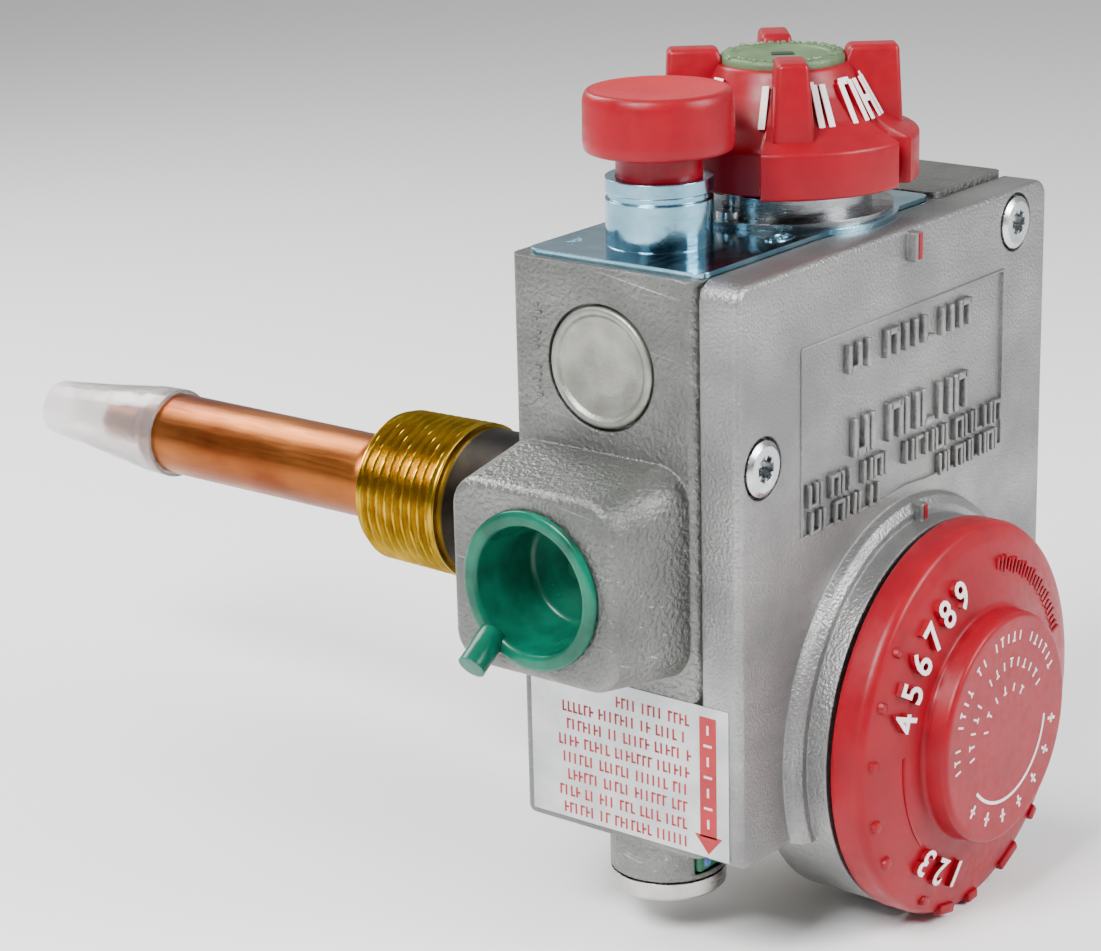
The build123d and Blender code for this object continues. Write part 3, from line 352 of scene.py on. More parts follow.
def skin(name, grids, finish, body, sharp=32):
    """Makes one piece from closed grids in millimetres, and lets it ride on a body."""
    faces, start = [], 0
    for grid in grids:
        rows, columns = grid.shape[:2]
        at = np.arange(rows * columns).reshape(rows, columns) + start
        after = np.roll(at, -1, axis=1)
        faces.append(np.stack([at[:-1], after[:-1], after[1:], at[1:]], -1).reshape(-1, 4))
        start += rows * columns
    points = np.vstack([g.reshape(-1, 3) for g in grids]) * MM
    mesh = bpy.data.meshes.new(name)
    mesh.from_pydata(points.tolist(), [], np.vstack(faces).tolist())
    work = bmesh.new()
    work.from_mesh(mesh)
    bmesh.ops.remove_doubles(work, verts=work.verts, dist=2e-7)
    bmesh.ops.recalc_face_normals(work, faces=work.faces)
    work.to_mesh(mesh)
    work.free()
    mesh.polygons.foreach_set("use_smooth", np.ones(len(mesh.polygons), bool))
    mesh.set_sharp_from_angle(angle=math.radians(sharp))
    mesh.materials.append(finish)
    piece = bpy.data.objects.new(name, mesh)
    bpy.context.scene.collection.objects.link(piece)
    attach(piece, body)
    print(name, len(mesh.polygons), "faces")
    return piece


# %% [markdown]
# ## Threaded shank
# The shank screws into the tank. Its outer surface is one grid: along the axis the radius falls and rises in
# a triangle wave whose phase turns once per pitch, which makes a true helix. The plain length behind the
# thread has darkened, so one finish blends bright brass to a brown oxide by the distance along the axis.

# %% Shank
PITCH = 1.814
TURNS = 96
THREAD_R = (SHANK_HIGH[0] - SHANK_LOW[0]) / 2
THREAD_START = SHANK_HIGH[1] - 17.7
TUBE_R = (TUBE_HIGH[0] - TUBE_LOW[0]) / 2


def threaded_shank():
    """Outer grid: r = crest - depth * tri(y / pitch - a / 2 pi), with the depth fading at both ends."""
    y = np.concatenate([[BODY_HIGH[1] - 6], np.linspace(BODY_HIGH[1] - 0.5, THREAD_START - 0.4, 12),
                        np.linspace(THREAD_START, SHANK_HIGH[1], 150)])[:, None]
    a = np.linspace(0, 2 * np.pi, TURNS, endpoint=False)[None, :]
    along = np.clip((y - THREAD_START) / (SHANK_HIGH[1] - THREAD_START), 0, 1)
    phase = (y / PITCH - a / (2 * np.pi)) % 1
    wave = np.clip(np.abs(phase - 0.5) * 2 * 1.25 - 0.08, 0, 1)
    depth = 1.15 * np.clip(along / 0.10, 0, 1) * np.clip((1.01 - along) / 0.05, 0, 1)
    crest = THREAD_R - 0.05 - 0.35 * along
    plain = THREAD_R - 0.8 + 0 * along
    radius = np.where(along > 0, crest - depth * wave, plain) - 0.5 * np.clip((along - 0.96) / 0.04, 0, 1)
    outer = np.stack([radius * np.cos(a), y + 0 * a, radius * np.sin(a)], -1)
    end = SHANK_HIGH[1]
    bore = turned([(THREAD_R - 1.6, end), (TUBE_R + 0.5, end), (TUBE_R + 0.06, end - 0.4),
                   (TUBE_R + 0.06, end - 6), (TUBE_R - 1.5, end - 6), (TUBE_R - 1.5, BODY_HIGH[1] - 6),
                   (THREAD_R - 0.8, BODY_HIGH[1] - 6)], TURNS)
    return np.concatenate([outer, bore[..., [0, 2, 1]]])


# Turned brass, aged at the back: a mirror on the thread, a brown half-matt oxide on the plain length.
brass = new_finish("turned_brass_aged", "c08a1c", 0.27, metallic=1.0)
where = add(brass, "ShaderNodeTexCoord").outputs["Object"]
along = add(brass, "ShaderNodeSeparateXYZ", {0: where}).outputs[1]
bright = add(brass, "ShaderNodeMapRange", {0: along, 1: (THREAD_START - 1.2) * MM,
                                           2: (THREAD_START + 0.6) * MM}).outputs[0]
stain = clouds(brass, 6, detail=5)
aged = add(brass, "ShaderNodeMix", {0: stain, 6: "14110f", 7: "2b251e"}, data_type="RGBA").outputs[2]
fresh = add(brass, "ShaderNodeMix", {0: stain, 6: "967414", 7: "c09c2a"}, data_type="RGBA").outputs[2]
tone = add(brass, "ShaderNodeMix", {0: bright, 6: aged, 7: fresh}, data_type="RGBA").outputs[2]
roughness = add(brass, "ShaderNodeMapRange", {0: bright, 3: 0.5, 4: 0.26}).outputs[0]
feed(brass, "Base Color", tone)
feed(brass, "Roughness", roughness)
emboss(brass, clouds(brass, 0.8, detail=3, stretch=(1, 3, 1)), 0.004)
shank = skin("threaded_shank", [threaded_shank()], brass, "valve_body", sharp=40)
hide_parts("tank_shank")

# %% [markdown]
# ## Copper sensing tube and its clear sleeve
# The tube is drawn copper: fine lines run along it, heat has left pinkish and brown clouds, and a crimp and
# a swaged shoulder show where it was closed. The sleeve is thin clear plastic that narrows to an open end,
# so it has a wall with two sides and lets light through.

# %% Tube
NOSE = TUBE_HIGH[1]
SHOULDER = NOSE - 13.0
tube_profile = rounded([
    (TUBE_R - 0.9, SHANK_HIGH[1] - 5), (TUBE_R, SHANK_HIGH[1] - 5), (TUBE_R, SHANK_HIGH[1] + 2.4),
    (TUBE_R - 0.75, SHANK_HIGH[1] + 3.6), (TUBE_R - 0.1, SHANK_HIGH[1] + 5.2), (TUBE_R - 0.12, SHOULDER - 0.6),
    (TUBE_R - 1.4, SHOULDER + 1.4), (4.3, SHOULDER + 3.4), (3.5, SHOULDER + 4.6), (3.3, SHOULDER + 7.4),
    (3.05, SHOULDER + 8.2), (3.3, SHOULDER + 9.2), (3.3, NOSE), (0, NOSE)], 0.7)
# Drawn copper: warm and half polished, with faint lines along the draw.
copper = new_finish("drawn_copper_tube", "a8602f", 0.34, metallic=1.0)
heat = clouds(copper, 11, detail=5, stretch=(1, 0.5, 1))
lines = clouds(copper, 0.5, detail=2, stretch=(1, 0.06, 1))
tone = add(copper, "ShaderNodeMix", {0: heat, 6: "7a3a16", 7: "a5622f"}, data_type="RGBA").outputs[2]
feed(copper, "Base Color", tone)
feed(copper, "Roughness", add(copper, "ShaderNodeMapRange", {0: lines, 3: 0.30, 4: 0.42}).outputs[0])
emboss(copper, lines, 0.004)
tube_grid = turned(tube_profile, 72)[..., [0, 2, 1]]
closing = tube_grid[:1] * [0, 1, 0]
tube = skin("copper_tube", [np.concatenate([closing, tube_grid])], copper, "valve_body")
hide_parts("sensing_tube")

# %% Clear sleeve
SLEEVE_R = (GUARD_HIGH[0] - GUARD_LOW[0]) / 2
grip = GUARD_LOW[1] + 5.5
sleeve_profile = rounded([
    (SLEEVE_R - 0.6, grip), (SLEEVE_R, grip), (SLEEVE_R - 0.15, grip + 5), (6.1, grip + 19),
    (4.95, GUARD_HIGH[1]), (4.45, GUARD_HIGH[1]), (5.6, grip + 19), (SLEEVE_R - 0.6, grip + 5),
    (SLEEVE_R - 0.6, grip)], 0.25)
# Soft clear vinyl: nearly water-clear, with a satin haze from its mould.
clear = new_finish("clear_vinyl_sleeve", "efe9e8", 0.16, IOR=1.45, Transmission_Weight=0.9)
haze = clouds(clear, 5, detail=3, stretch=(1, 0.4, 1))
feed(clear, "Roughness", add(clear, "ShaderNodeMapRange", {0: haze, 3: 0.10, 4: 0.26}).outputs[0])
emboss(clear, haze, 0.10)
sleeve = skin("clear_sleeve", [turned(sleeve_profile, 64)[..., [0, 2, 1]]], clear, "tube_guard")
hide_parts("tube_guard")

# %% [markdown]
# ## Red plastic
# The knobs are moulded from a glossy engineering plastic. A faint orange-peel, about 1.5 mm across, breaks
# up the reflections, and the colour shifts a little where the wall is thick. The top of the button was left
# matt.


# %% Red finishes
def moulded(name, pale, dark, rough, peel=1.6, depth=0.006, **sockets):
    """Moulded plastic with a waviness of peel and depth millimetres."""
    finish = new_finish(name, pale, rough, IOR=1.5, **sockets)
    wave = clouds(finish, peel, detail=2)
    depths = clouds(finish, 7, detail=3)
    tone = add(finish, "ShaderNodeMix", {0: depths, 6: dark, 7: pale}, data_type="RGBA").outputs[2]
    roughness = add(finish, "ShaderNodeMapRange", {0: wave, 3: rough - 0.04, 4: rough + 0.06}).outputs[0]
    feed(finish, "Base Color", tone)
    feed(finish, "Roughness", roughness)
    emboss(finish, wave, depth)
    return finish


red = moulded("moulded_red_plastic", "8c0218", "800215", 0.36, Specular_IOR_Level=0.25)
matt_red = moulded("moulded_red_plastic_matt", "a00a1a", "940817", 0.5, peel=0.5, depth=0.01)
white_paint = moulded("pad_printed_white", "eee9e8", "e2d8d8", 0.45, peel=0.6)

# %% [markdown]
# ## Reset button
# A mushroom cap on a hollow stem. The profile starts on the axis above, dips for the finger, and ends on the
# axis inside the stem, so the turned surface is closed.

# %% Button
cap_top = CAP_HIGH[2]
cap_r = (CAP_HIGH[0] - CAP_LOW[0]) / 2
cap_under = PLATE_TOP + 13.8
dish = [(r, cap_top - 0.95 * (1 - (r / (cap_r - 1.2)) ** 2)) for r in np.linspace(0, cap_r - 1.3, 12)]
side = rounded([dish[-1], (cap_r - 0.55, cap_top - 0.15), (cap_r - 0.1, cap_top - 1.3),
                (cap_r, cap_under + 1.6), (cap_r - 0.25, cap_under), (6.42, cap_under)], 0.6)
stem = rounded([(6.4, cap_under - 0.1), (6.4, CAP_LOW[2]), (4.95, CAP_LOW[2]), (4.95, cap_under - 2),
                (0, cap_under - 2)], 0.3)
cap = put(turned(np.vstack([dish, side[1:], stem])), (BUTTON[0], BUTTON[1], 0))
button = skin("button_cap", [cap], red, "reset_button")
button.data.materials.append(matt_red)
centres = np.zeros(len(button.data.polygons) * 3)
button.data.polygons.foreach_get("center", centres)
centres = centres.reshape(-1, 3)
off_axis = np.hypot(centres[:, 0] - BUTTON[0] * MM, centres[:, 1] - BUTTON[1] * MM)
on_dish = (centres[:, 2] > (cap_top - 1.4) * MM) & (off_axis < (cap_r - 1.5) * MM)
button.data.polygons.foreach_set("material_index", on_dish.astype(np.int32))
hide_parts("reset_button")
print("matt faces in the dish:", on_dish.sum())

# %% [markdown]
# ## Gas cock knob
# The skirt is a turned profile whose radius steps out over two lobes, so that its gap clears the reset
# button. The cone above flares into the skirt. Four grip ribs are tapered blocks, and the position marks are
# raised bars with printed faces, one group between each pair of ribs.

# %% Knob skirt and cone
base_z = KNOB_LOW[2]
knob_r = KNOB_HIGH[1] - COCK[1]
LOBE_R = COCK[1] - KNOB_LOW[1]
LOBES = ((204, 271), (280, 345))
RIB_AT = (219, 309, 39, 129)
INSERT_R = (INSERT_HIGH[0] - INSERT_LOW[0]) / 2
RIM_Z = INSERT_HIGH[2] - 1.5


def knob_shell():
    """Radius = inner + (outer - inner) * step(a), where step is 1 over the lobes and 0 elsewhere."""
    edges = np.radians(np.array(LOBES, float)).ravel()
    fine = (edges[:, None] + np.radians(np.linspace(-1.6, 1.6, 7))).ravel()
    a = np.unique(np.concatenate([np.linspace(0, 2 * np.pi, 120, endpoint=False), fine]))
    step = np.zeros_like(a)
    for start, stop in np.radians(np.array(LOBES, float)):
        step += np.clip((a - start) / 0.024 + 0.5, 0, 1) * np.clip((stop - a) / 0.024 + 0.5, 0, 1)
    foot = [(15.1, base_z + 3.5), (15.1, base_z)]
    top = [(12.2, base_z + 13.6), (INSERT_R + 0.7, RIM_Z), (INSERT_R, RIM_Z)]
    inner = rounded(foot + [(knob_r, base_z), (knob_r, base_z + 6.6), (16.9, base_z + 7.6),
                            (15.0, base_z + 9.4)] + top, 0.55, 5)
    outer = rounded(foot + [(LOBE_R, base_z), (LOBE_R, base_z + 7.0), (17.2, base_z + 8.6),
                            (15.0, base_z + 10.0)] + top, 0.55, 5)
    r = inner[:, :1] * (1 - step) + outer[:, :1] * step
    z = inner[:, 1:] * (1 - step) + outer[:, 1:] * step
    grid = np.stack([r * np.cos(a), r * np.sin(a), z], -1)
    floor = turned([(INSERT_R, RIM_Z - 2), (3, RIM_Z - 2), (3, base_z + 3.5), (15.1, base_z + 3.5)], a)
    return np.concatenate([grid, floor])


def rib(angle):
    """A block whose width grows downwards and whose inner top edge leans outwards."""
    z_low, z_top = base_z + 5.5, KNOB_HIGH[2]
    grid = block((7.6, 5.0, z_top - z_low), 0.75, 4)
    rise = (grid[..., 2] / (z_top - z_low) + 0.5)[..., None]
    wide = 1.34 - 0.42 * rise
    lean = 0.7 * (1 - rise) * (grid[..., :1] > 0) - 4.6 * (1 - rise) * (grid[..., :1] < 0)
    grid = np.concatenate([grid[..., :1] + lean, grid[..., 1:2] * wide, grid[..., 2:]], -1)
    c, s = math.cos(math.radians(angle)), math.sin(math.radians(angle))
    reach = knob_r - 3.9
    return put(grid, (COCK[0] + reach * c, COCK[1] + reach * s, (z_low + z_top) / 2), (c, s, 0), (-s, c, 0))


shell = put(knob_shell(), (COCK[0], COCK[1], 0))
knob = skin("knob_shell", [shell] + [rib(a) for a in RIB_AT], red, "gas_cock")
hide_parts("gas_cock_knob")


# %% Knob marks
def cone_mark(angle, height, low, thick, out, wide):
    """An upright bar on the knob's cone, proud by out."""
    c, s = math.cos(math.radians(angle)), math.sin(math.radians(angle))
    along = np.array([-0.5 * c, -0.5 * s, 0.866])
    outwards = np.array([0.866 * c, 0.866 * s, 0.5])
    middle_z = base_z + low + height / 2
    radius = 12.2 + (base_z + 13.6 - middle_z) * 0.66
    centre = np.array([COCK[0] + radius * c, COCK[1] + radius * s, middle_z]) + outwards * (out - thick / 2)
    return put(block((wide, height, thick), 0.1, 2), centre, (-s, c, 0), along, outwards)


GROUPS = ((231, 297, 5), (159, 207, 2), (326, 384, 3))
WIDE = 2.4
bars, faces = [], []
for start, stop, count in GROUPS:
    for k, place in enumerate(np.linspace(start, stop, count)):
        turn_by = math.degrees(WIDE / 2 / 13.6)
        strokes = [(place - turn_by, 6.8, 8.9, 1.05)]
        if k % 4 != 1:
            strokes.append((place + turn_by, 6.8, 8.9, 1.05))
            strokes.append((place, 1.1, 8.9 + (5.7 if k % 2 == 0 else 2.8), WIDE))
        bars += [cone_mark(a, h, low, 1.6, 0.75, w) for a, h, low, w in strokes]
        faces += [cone_mark(a, h, low, 0.16, 0.85, w) for a, h, low, w in strokes]
skin("knob_bars", bars, red, "gas_cock")
skin("knob_bar_faces", faces, white_paint, "gas_cock")

# %% [markdown]
# ## Insert
# A pale green disc sits in the top of the knob. A ring of small raised pips runs round its edge, and a slot
# takes a screwdriver. The pips differ a little in size and place, as cast letters worn smooth do.

# %% Insert
sage = moulded("moulded_sage_plastic", "566e4b", "43583b", 0.5, peel=0.4, depth=0.02)
insert_top = INSERT_HIGH[2]
insert_profile = rounded([
    (0, insert_top - 0.6), (7.0, insert_top - 0.6), (7.3, insert_top - 0.3), (INSERT_R - 0.3, insert_top - 0.3),
    (INSERT_R - 0.05, insert_top - 0.8), (INSERT_R - 0.05, insert_top - 2.4), (0, insert_top - 2.4)], 0.25)
draw = np.random.default_rng(7)
pips = []
for k in range(46):
    angle = math.radians(k * 7.8 + draw.uniform(-1.5, 1.5))
    if abs(math.degrees(angle) % 180 - 90) < 5:
        continue
    reach = draw.uniform(8.1, 8.8)
    size = (draw.uniform(0.9, 1.7), draw.uniform(0.5, 0.85), 1.2)
    c, s = math.cos(angle), math.sin(angle)
    pips.append(put(block(size, 0.18, 2), (COCK[0] + reach * c, COCK[1] + reach * s, insert_top - 0.6),
                    (c, s, 0), (-s, c, 0)))
disc = put(turned(insert_profile), (COCK[0], COCK[1], 0))
insert = skin("insert_disc", [disc] + pips, sage, "gas_cock")
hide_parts("knob_insert")
dark = new_finish("shadow_in_slot", "20261f", 0.8)
slot = skin("insert_slot", [put(block((3.4, 2.0, 0.3), 0.05, 2), (COCK[0], COCK[1], insert_top - 0.52),
                                (0.62, -0.78, 0), (0.78, 0.62, 0))], dark, "gas_cock")

# %% [markdown]
# ## Temperature dial
# The face is a shallow cone between a rim and a raised hub. It is one closed profile. Numbers from 1 to 9
# stand round it, made from the built-in font and turned to a mesh, with their tops to the rim. Raised ticks,
# grip teeth and a thin ridge follow measured radii and angles, counted from +X towards +Z.

# %% Dial
DIAL_R = (DIAL_HIGH[0] - DIAL_LOW[0]) / 2
RIM_BACK = DIAL_HIGH[1]
DEPTH = DIAL_HIGH[1] - DIAL_LOW[1]
FACE_R = ((HUB_HIGH[0] - HUB_LOW[0]) / 2) + 1.2
HUB_OUT = RIM_BACK - HUB_LOW[1] - 0.1


def face_height(r):
    """Height of the coned face above the rim's back, at radius r."""
    return np.interp(r, [FACE_R, DIAL_R - 0.6], [DEPTH - 2.0, DEPTH - 4.6])


dial_profile = rounded([
    (0, DEPTH - 4.4), (FACE_R - 2, DEPTH - 4.4), (DIAL_R - 3.4, DEPTH - 6.6), (DIAL_R - 2.8, 0), (DIAL_R - 0.3, 0),
    (DIAL_R, 0.4), (DIAL_R, DEPTH - 5.8), (DIAL_R - 0.6, DEPTH - 4.7), (DIAL_R - 3.0, DEPTH - 4.0),
    (FACE_R + 0.4, DEPTH - 2.0), (FACE_R, DEPTH - 1.7), (FACE_R - 0.15, HUB_OUT - 0.5),
    (FACE_R - 0.7, HUB_OUT), (FACE_R - 2, HUB_OUT), (0, HUB_OUT)], 0.5, 5)


def on_dial(grid, radius, degrees, height):
    """Places a grid on the dial: x runs round it clockwise, y points to the rim and z out of the face."""
    a = math.radians(degrees)
    out = np.array([math.cos(a), math.sin(a), 0])
    round_it = np.array([math.sin(a), -math.cos(a), 0])
    flat = put(grid, np.append(out[:2] * radius, height), round_it, out, (0, 0, 1))
    return facing_front(flat, DIAL, RIM_BACK)


# Angle, width and distance in from the rim of each grip tooth.
LUGS = ((-49, 2.4, 0.9), (-66, 5.6, 0.9), (-88, 3.0, 0.9), (-103, 4.4, 0.9), (-118, 2.2, 2.2), (196, 1.8, 2.4),
        (176, 1.6, 2.6), (158, 1.6, 2.8), (141, 1.4, 2.6), (211, 1.8, 2.4))
teeth = [on_dial(block((w, 1.7, 3.4), 0.45, 3), DIAL_R - inset, a, face_height(DIAL_R - inset) - 1.0)
         for a, w, inset in LUGS]
ticks = [on_dial(block((0.55, 1.9 + 0.5 * (k % 3), 0.9), 0.15, 2), 24.9, 78 - k * 2.6, face_height(24.9) + 0.05)
         for k in range(24)]
cone = facing_front(turned(dial_profile, 128), DIAL, RIM_BACK)
dial = skin("dial_face", [cone] + teeth + ticks, red, "dial")
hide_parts("temperature_dial", "dial_cap")


# %% Curved bars
def arc_bar(radius, start, stop, width, low, high, steps=40):
    """A bar of rectangular section bent round the dial's axis: the section is carried along an arc of angles."""
    a = np.radians(np.linspace(start, stop, steps))[:, None]
    r = radius + np.array([-0.5, 0.5, 0.5, -0.5])[None, :] * width
    z = np.array([low, low, high, high])[None, :] + 0 * a
    ring = np.stack([r * np.cos(a), r * np.sin(a), z], -1)
    first, last = (end.mean(axis=1, keepdims=True).repeat(4, axis=1) for end in (ring[:1], ring[-1:]))
    return facing_front(np.concatenate([first, ring, last]), DIAL, RIM_BACK)


RIDGE_R = 22.4
ridge = arc_bar(RIDGE_R, 176, 220, 0.5, face_height(RIDGE_R) - 0.5, face_height(RIDGE_R) + 0.22)
groove = skin("dial_raised_arc", [ridge], red, "dial")
printed_arc = arc_bar(11.8, -138, -7, 0.5, HUB_OUT - 0.2, HUB_OUT + 0.03)
hub_line = skin("hub_printed_arc", [printed_arc], white_paint, "dial")


# %% [markdown]
# ### Numbers and printed dashes
# A number is a text object turned to a mesh, then bent into place with numpy like any other points. The
# hub's small print is drawn as rows of short dashes, which say nothing.

# %% Numbers
def number(text, size, thick):
    """Points and faces of a digit, centred, in millimetres."""
    curve = bpy.data.curves.new("digits", "FONT")
    curve.body = text
    curve.size = size
    curve.align_x = "CENTER"
    curve.align_y = "CENTER"
    curve.extrude = thick / 2
    curve.offset = 0.045 * size / 4
    curve.resolution_u = 3
    holder = bpy.data.objects.new("digits", curve)
    mesh = bpy.data.meshes.new_from_object(holder)
    points = np.zeros(len(mesh.vertices) * 3)
    mesh.vertices.foreach_get("co", points)
    faces = [list(p.vertices) for p in mesh.polygons]
    bpy.data.objects.remove(holder)
    bpy.data.meshes.remove(mesh)
    return points.reshape(-1, 3), faces


def numbers(name, places, size, thick, lift, finish, radius):
    """One piece from several digits on the dial's cone. places is a list of (text, degrees)."""
    points, faces, start = [], [], 0
    for text, degrees in places:
        p, f = number(text, size, thick)
        height = face_height(radius + p[:, 1]) + p[:, 2] + lift
        flat = np.stack([p[:, 0], p[:, 1], height], -1)
        points.append(on_dial(flat, radius, degrees, 0))
        faces += [[i + start for i in face] for face in f]
        start += len(p)
    mesh = bpy.data.meshes.new(name)
    mesh.from_pydata((np.vstack(points) * MM).tolist(), [], faces)
    work = bmesh.new()
    work.from_mesh(mesh)
    bmesh.ops.remove_doubles(work, verts=work.verts, dist=1e-7)
    bmesh.ops.recalc_face_normals(work, faces=work.faces)
    work.to_mesh(mesh)
    work.free()
    mesh.materials.append(finish)
    piece = bpy.data.objects.new(name, mesh)
    bpy.context.scene.collection.objects.link(piece)
    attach(piece, "dial")
    print(name, len(mesh.polygons), "faces")
    return piece


PLACES = [(str(k + 1), 252 - k * 12.5) for k in range(3)] + [(str(k + 4), 162 - k * 11.0) for k in range(6)]
numbers("dial_numbers", PLACES, 6.2, 1.3, 0.35, red, 23.8)
numbers("dial_number_faces", PLACES, 6.2, 0.14, 1.02, white_paint, 23.8)

# %% Hub print
HUB_ROWS = ((14.7, 26, 190, 1.5, (3, 4, 2, 5, 6)), (10.5, 26, 190, 1.4, (5, 9)), (6.5, 49, 168, 1.3, (6,)))
dashes = []
for radius, start, stop, tall, words in HUB_ROWS:
    count = sum(words) + len(words) - 1
    spots = np.linspace(stop, start, count)
    gaps = np.cumsum(words) + np.arange(len(words))
    for k, spot in enumerate(spots):
        if k in gaps:
            continue
        dashes.append(on_dial(block((0.34, tall, 0.3), 0.05, 2), radius, spot, HUB_OUT - 0.1))
        if k % 2:
            end = radius + tall / 2 * (1 if k % 4 == 1 else -1)
            dashes.append(on_dial(block((0.95, 0.3, 0.3), 0.05, 2), end, spot, HUB_OUT - 0.1))
for k in range(7):
    dashes.append(on_dial(block((0.5, 2.2, 0.3), 0.05, 2), 14.4, -12 - k * 20.2, HUB_OUT - 0.1))
    dashes.append(on_dial(block((1.5, 0.4, 0.3), 0.05, 2), 14.4, -12 - k * 20.2, HUB_OUT - 0.1))
skin("hub_print", dashes, white_paint, "dial")

# %% [markdown]
# ## Inlet plug
# A soft moulded cup closes the gas inlet. It lets some light through, which makes its thin rim brighter than
# its deep floor. The cup is one closed profile laid along X, and the tab is a short rod with a round end.

# %% Plug
RIM_R = 12.25
mouth = BODY_LOW[0]
plug_profile = rounded([
    (0, 12.5), (8.3, 12.5), (10.3, 10.5), (10.3, 0), (RIM_R - 0.2, 0), (RIM_R, -0.3), (RIM_R - 0.1, -0.9),
    (RIM_R - 0.7, -1.2), (10.2, -1.2), (9.7, -0.7), (9.1, 4.0), (8.7, 10.4), (8.0, 10.9),
    (1.7, 10.9), (1.6, 10.2), (0, 10.2)], 0.35)
# Soft polyethylene: waxy, a little see-through, and green right through.
green = new_finish("soft_green_polyethylene", "12a07c", 0.26, Specular_IOR_Level=0.25, Transmission_Weight=0.12,
                   Subsurface_Weight=0.12, Subsurface_Scale=0.003)
milk = clouds(green, 6, detail=3)
tone = add(green, "ShaderNodeMix", {0: milk, 6: "024a38", 7: "056a52"}, data_type="RGBA").outputs[2]
feed(green, "Base Color", tone)
emboss(green, clouds(green, 1.2, detail=2), 0.01)
cup = turned(plug_profile)[..., [2, 0, 1]]
TAB_AT, TAB_FROM = math.radians(50), 11.2
root = np.array([mouth - 0.9, INLET[1] + TAB_FROM * math.cos(TAB_AT), INLET[2] - TAB_FROM * math.sin(TAB_AT)])
way = np.array([-6.0, 0, -4.0]) / math.hypot(6, 4)
tab = turned(rounded([(0, -0.9), (2.2, -0.9), (2.2, 5.5), (2.25, 5.8), (0, 5.8)], 0.35), 32)
tab = put(tab, root, (0, 1, 0), np.cross(way, (0, 1, 0)), way)
specks = [put(block((0.3, 1.1, 0.5), 0.1, 2), (mouth + 10.8, INLET[1] + dy, INLET[2] + dz))
          for dy, dz in ((-4.5, -4.4), (-2.8, -5.2), (3.6, -4.8), (5.0, -3.4), (4.4, 4.2))]
plug = skin("plug_cup", [put(cup, (mouth, INLET[1], INLET[2])), tab] + specks, green, "inlet_plug")
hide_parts("inlet_plug")

# %% [markdown]
# ## Side plug
# A thin disc pressed into the left face. Its rim stands proud round a frosted, pale dish.

# %% Side plug
SIDE = middle("side_plug")
side_r = (corners("side_plug")[1][2] - corners("side_plug")[0][2]) / 2
frosted = new_finish("frosted_zinc_disc", "b4b4ac", 0.42, metallic=0.8)
frost = clouds(frosted, 5, detail=4)
tone = add(frosted, "ShaderNodeMix", {0: frost, 6: "7f7f78", 7: "9b9b94"}, data_type="RGBA").outputs[2]
feed(frosted, "Base Color", tone)
emboss(frosted, clouds(frosted, 0.35, detail=2), 0.02)
side_profile = rounded([(0, -1.4), (side_r - 0.45, -1.4), (side_r - 0.45, -0.1), (side_r - 0.8, 0.25),
                        (side_r - 1.5, 0.25), (side_r - 2.1, -0.3), (side_r - 3.2, -0.45), (4.5, -0.95),
                        (0, -1.2)], 0.3)
disc = turned(side_profile)[..., [2, 0, 1]] * [-1, 1, 1]
side_plug = skin("side_disc", [put(disc, (LEFT_FACE, SIDE[1], SIDE[2]))], frosted, "valve_body")
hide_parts("side_plug")

# %% [markdown]
# ## Foil label
# The label is printed foil: satin silver with red print. The words of the real one are replaced by rows of
# dashes in word lengths, and the strip on its right ends in an arrow.

# %% Label
foil = new_finish("printed_aluminium_foil", "d9dadb", 0.30, metallic=0.75)
creases = clouds(foil, 8, detail=3)
tone = add(foil, "ShaderNodeMix", {0: creases, 6: "a8aaac", 7: "c6c7c8"}, data_type="RGBA").outputs[2]
feed(foil, "Base Color", tone)
emboss(foil, clouds(foil, 3, detail=3), 0.03)
dress(foil, "foil_label")
red_print = moulded("red_foil_print", "a8061a", "930415", 0.4)
pale_print = moulded("pale_foil_print", "e9c7cb", "dcb4ba", 0.4)


def on_label(width, height, y, z, lift=0.03):
    """A thin bar on the left face, with its sunk half inside the label."""
    return put(block((0.06, width, height), 0.01, 2), (LABEL_LOW[0] - lift + 0.02, y, z))


strokes = []
for row in range(8):
    z = LABEL_HIGH[2] - 2.9 - row * 2.78
    y = LABEL_HIGH[1] - 4.6 - (row % 3) * 0.8 - (11 if row == 0 else 0)
    letters = 0
    while y > LABEL_LOW[1] + 7.4:
        if letters == 0:
            letters = int(draw.integers(2, 8))
            y -= 0.75
        strokes.append(on_label(0.34, 1.75, y, z))
        if draw.random() < 0.6:
            strokes.append(on_label(0.6, 0.32, y - 0.35, z + draw.choice([-0.7, 0.0, 0.7])))
        y -= 1.02
        letters -= 1
skin("label_print", strokes, red_print, "valve_body")
strip_y = LABEL_LOW[1] + 3.7
strip = on_label(3.0, 19.2, strip_y, LABEL_HIGH[2] - 11.2)
head = on_label(5.0, 3.0, strip_y, LABEL_HIGH[2] - 22.0)
middle_z = LABEL_HIGH[2] - 22.0
narrow = np.clip((head[..., 2:] - (middle_z - 1.5)) / 3.0, 0, 1)
head = np.concatenate([head[..., :1], strip_y + (head[..., 1:2] - strip_y) * narrow, head[..., 2:]], -1)
skin("label_strip", [strip, head], red_print, "valve_body")
pale = [on_label(1.5 if k % 2 else 0.4, 0.4 if k % 2 else 1.5, strip_y, LABEL_HIGH[2] - 3.6 - k * 2.5, 0.06)
        for k in range(7)]
skin("label_strip_marks", pale, pale_print, "valve_body")

# %% [markdown]
# ## Raised marks on the castings
# The cover carries raised lettering on the real part. Here each letter is a pair of plain raised bars of the
# same height and spacing, so the relief catches light as lettering does and says nothing.


# %% Cover relief
def cover_bar(width, height, x, z, out=0.55):
    """A raised bar on the front cover, standing out by out."""
    return put(block((width, out + 0.8, height), 0.16, 3), (x, COVER_FACE - out / 2 + 0.4, z))


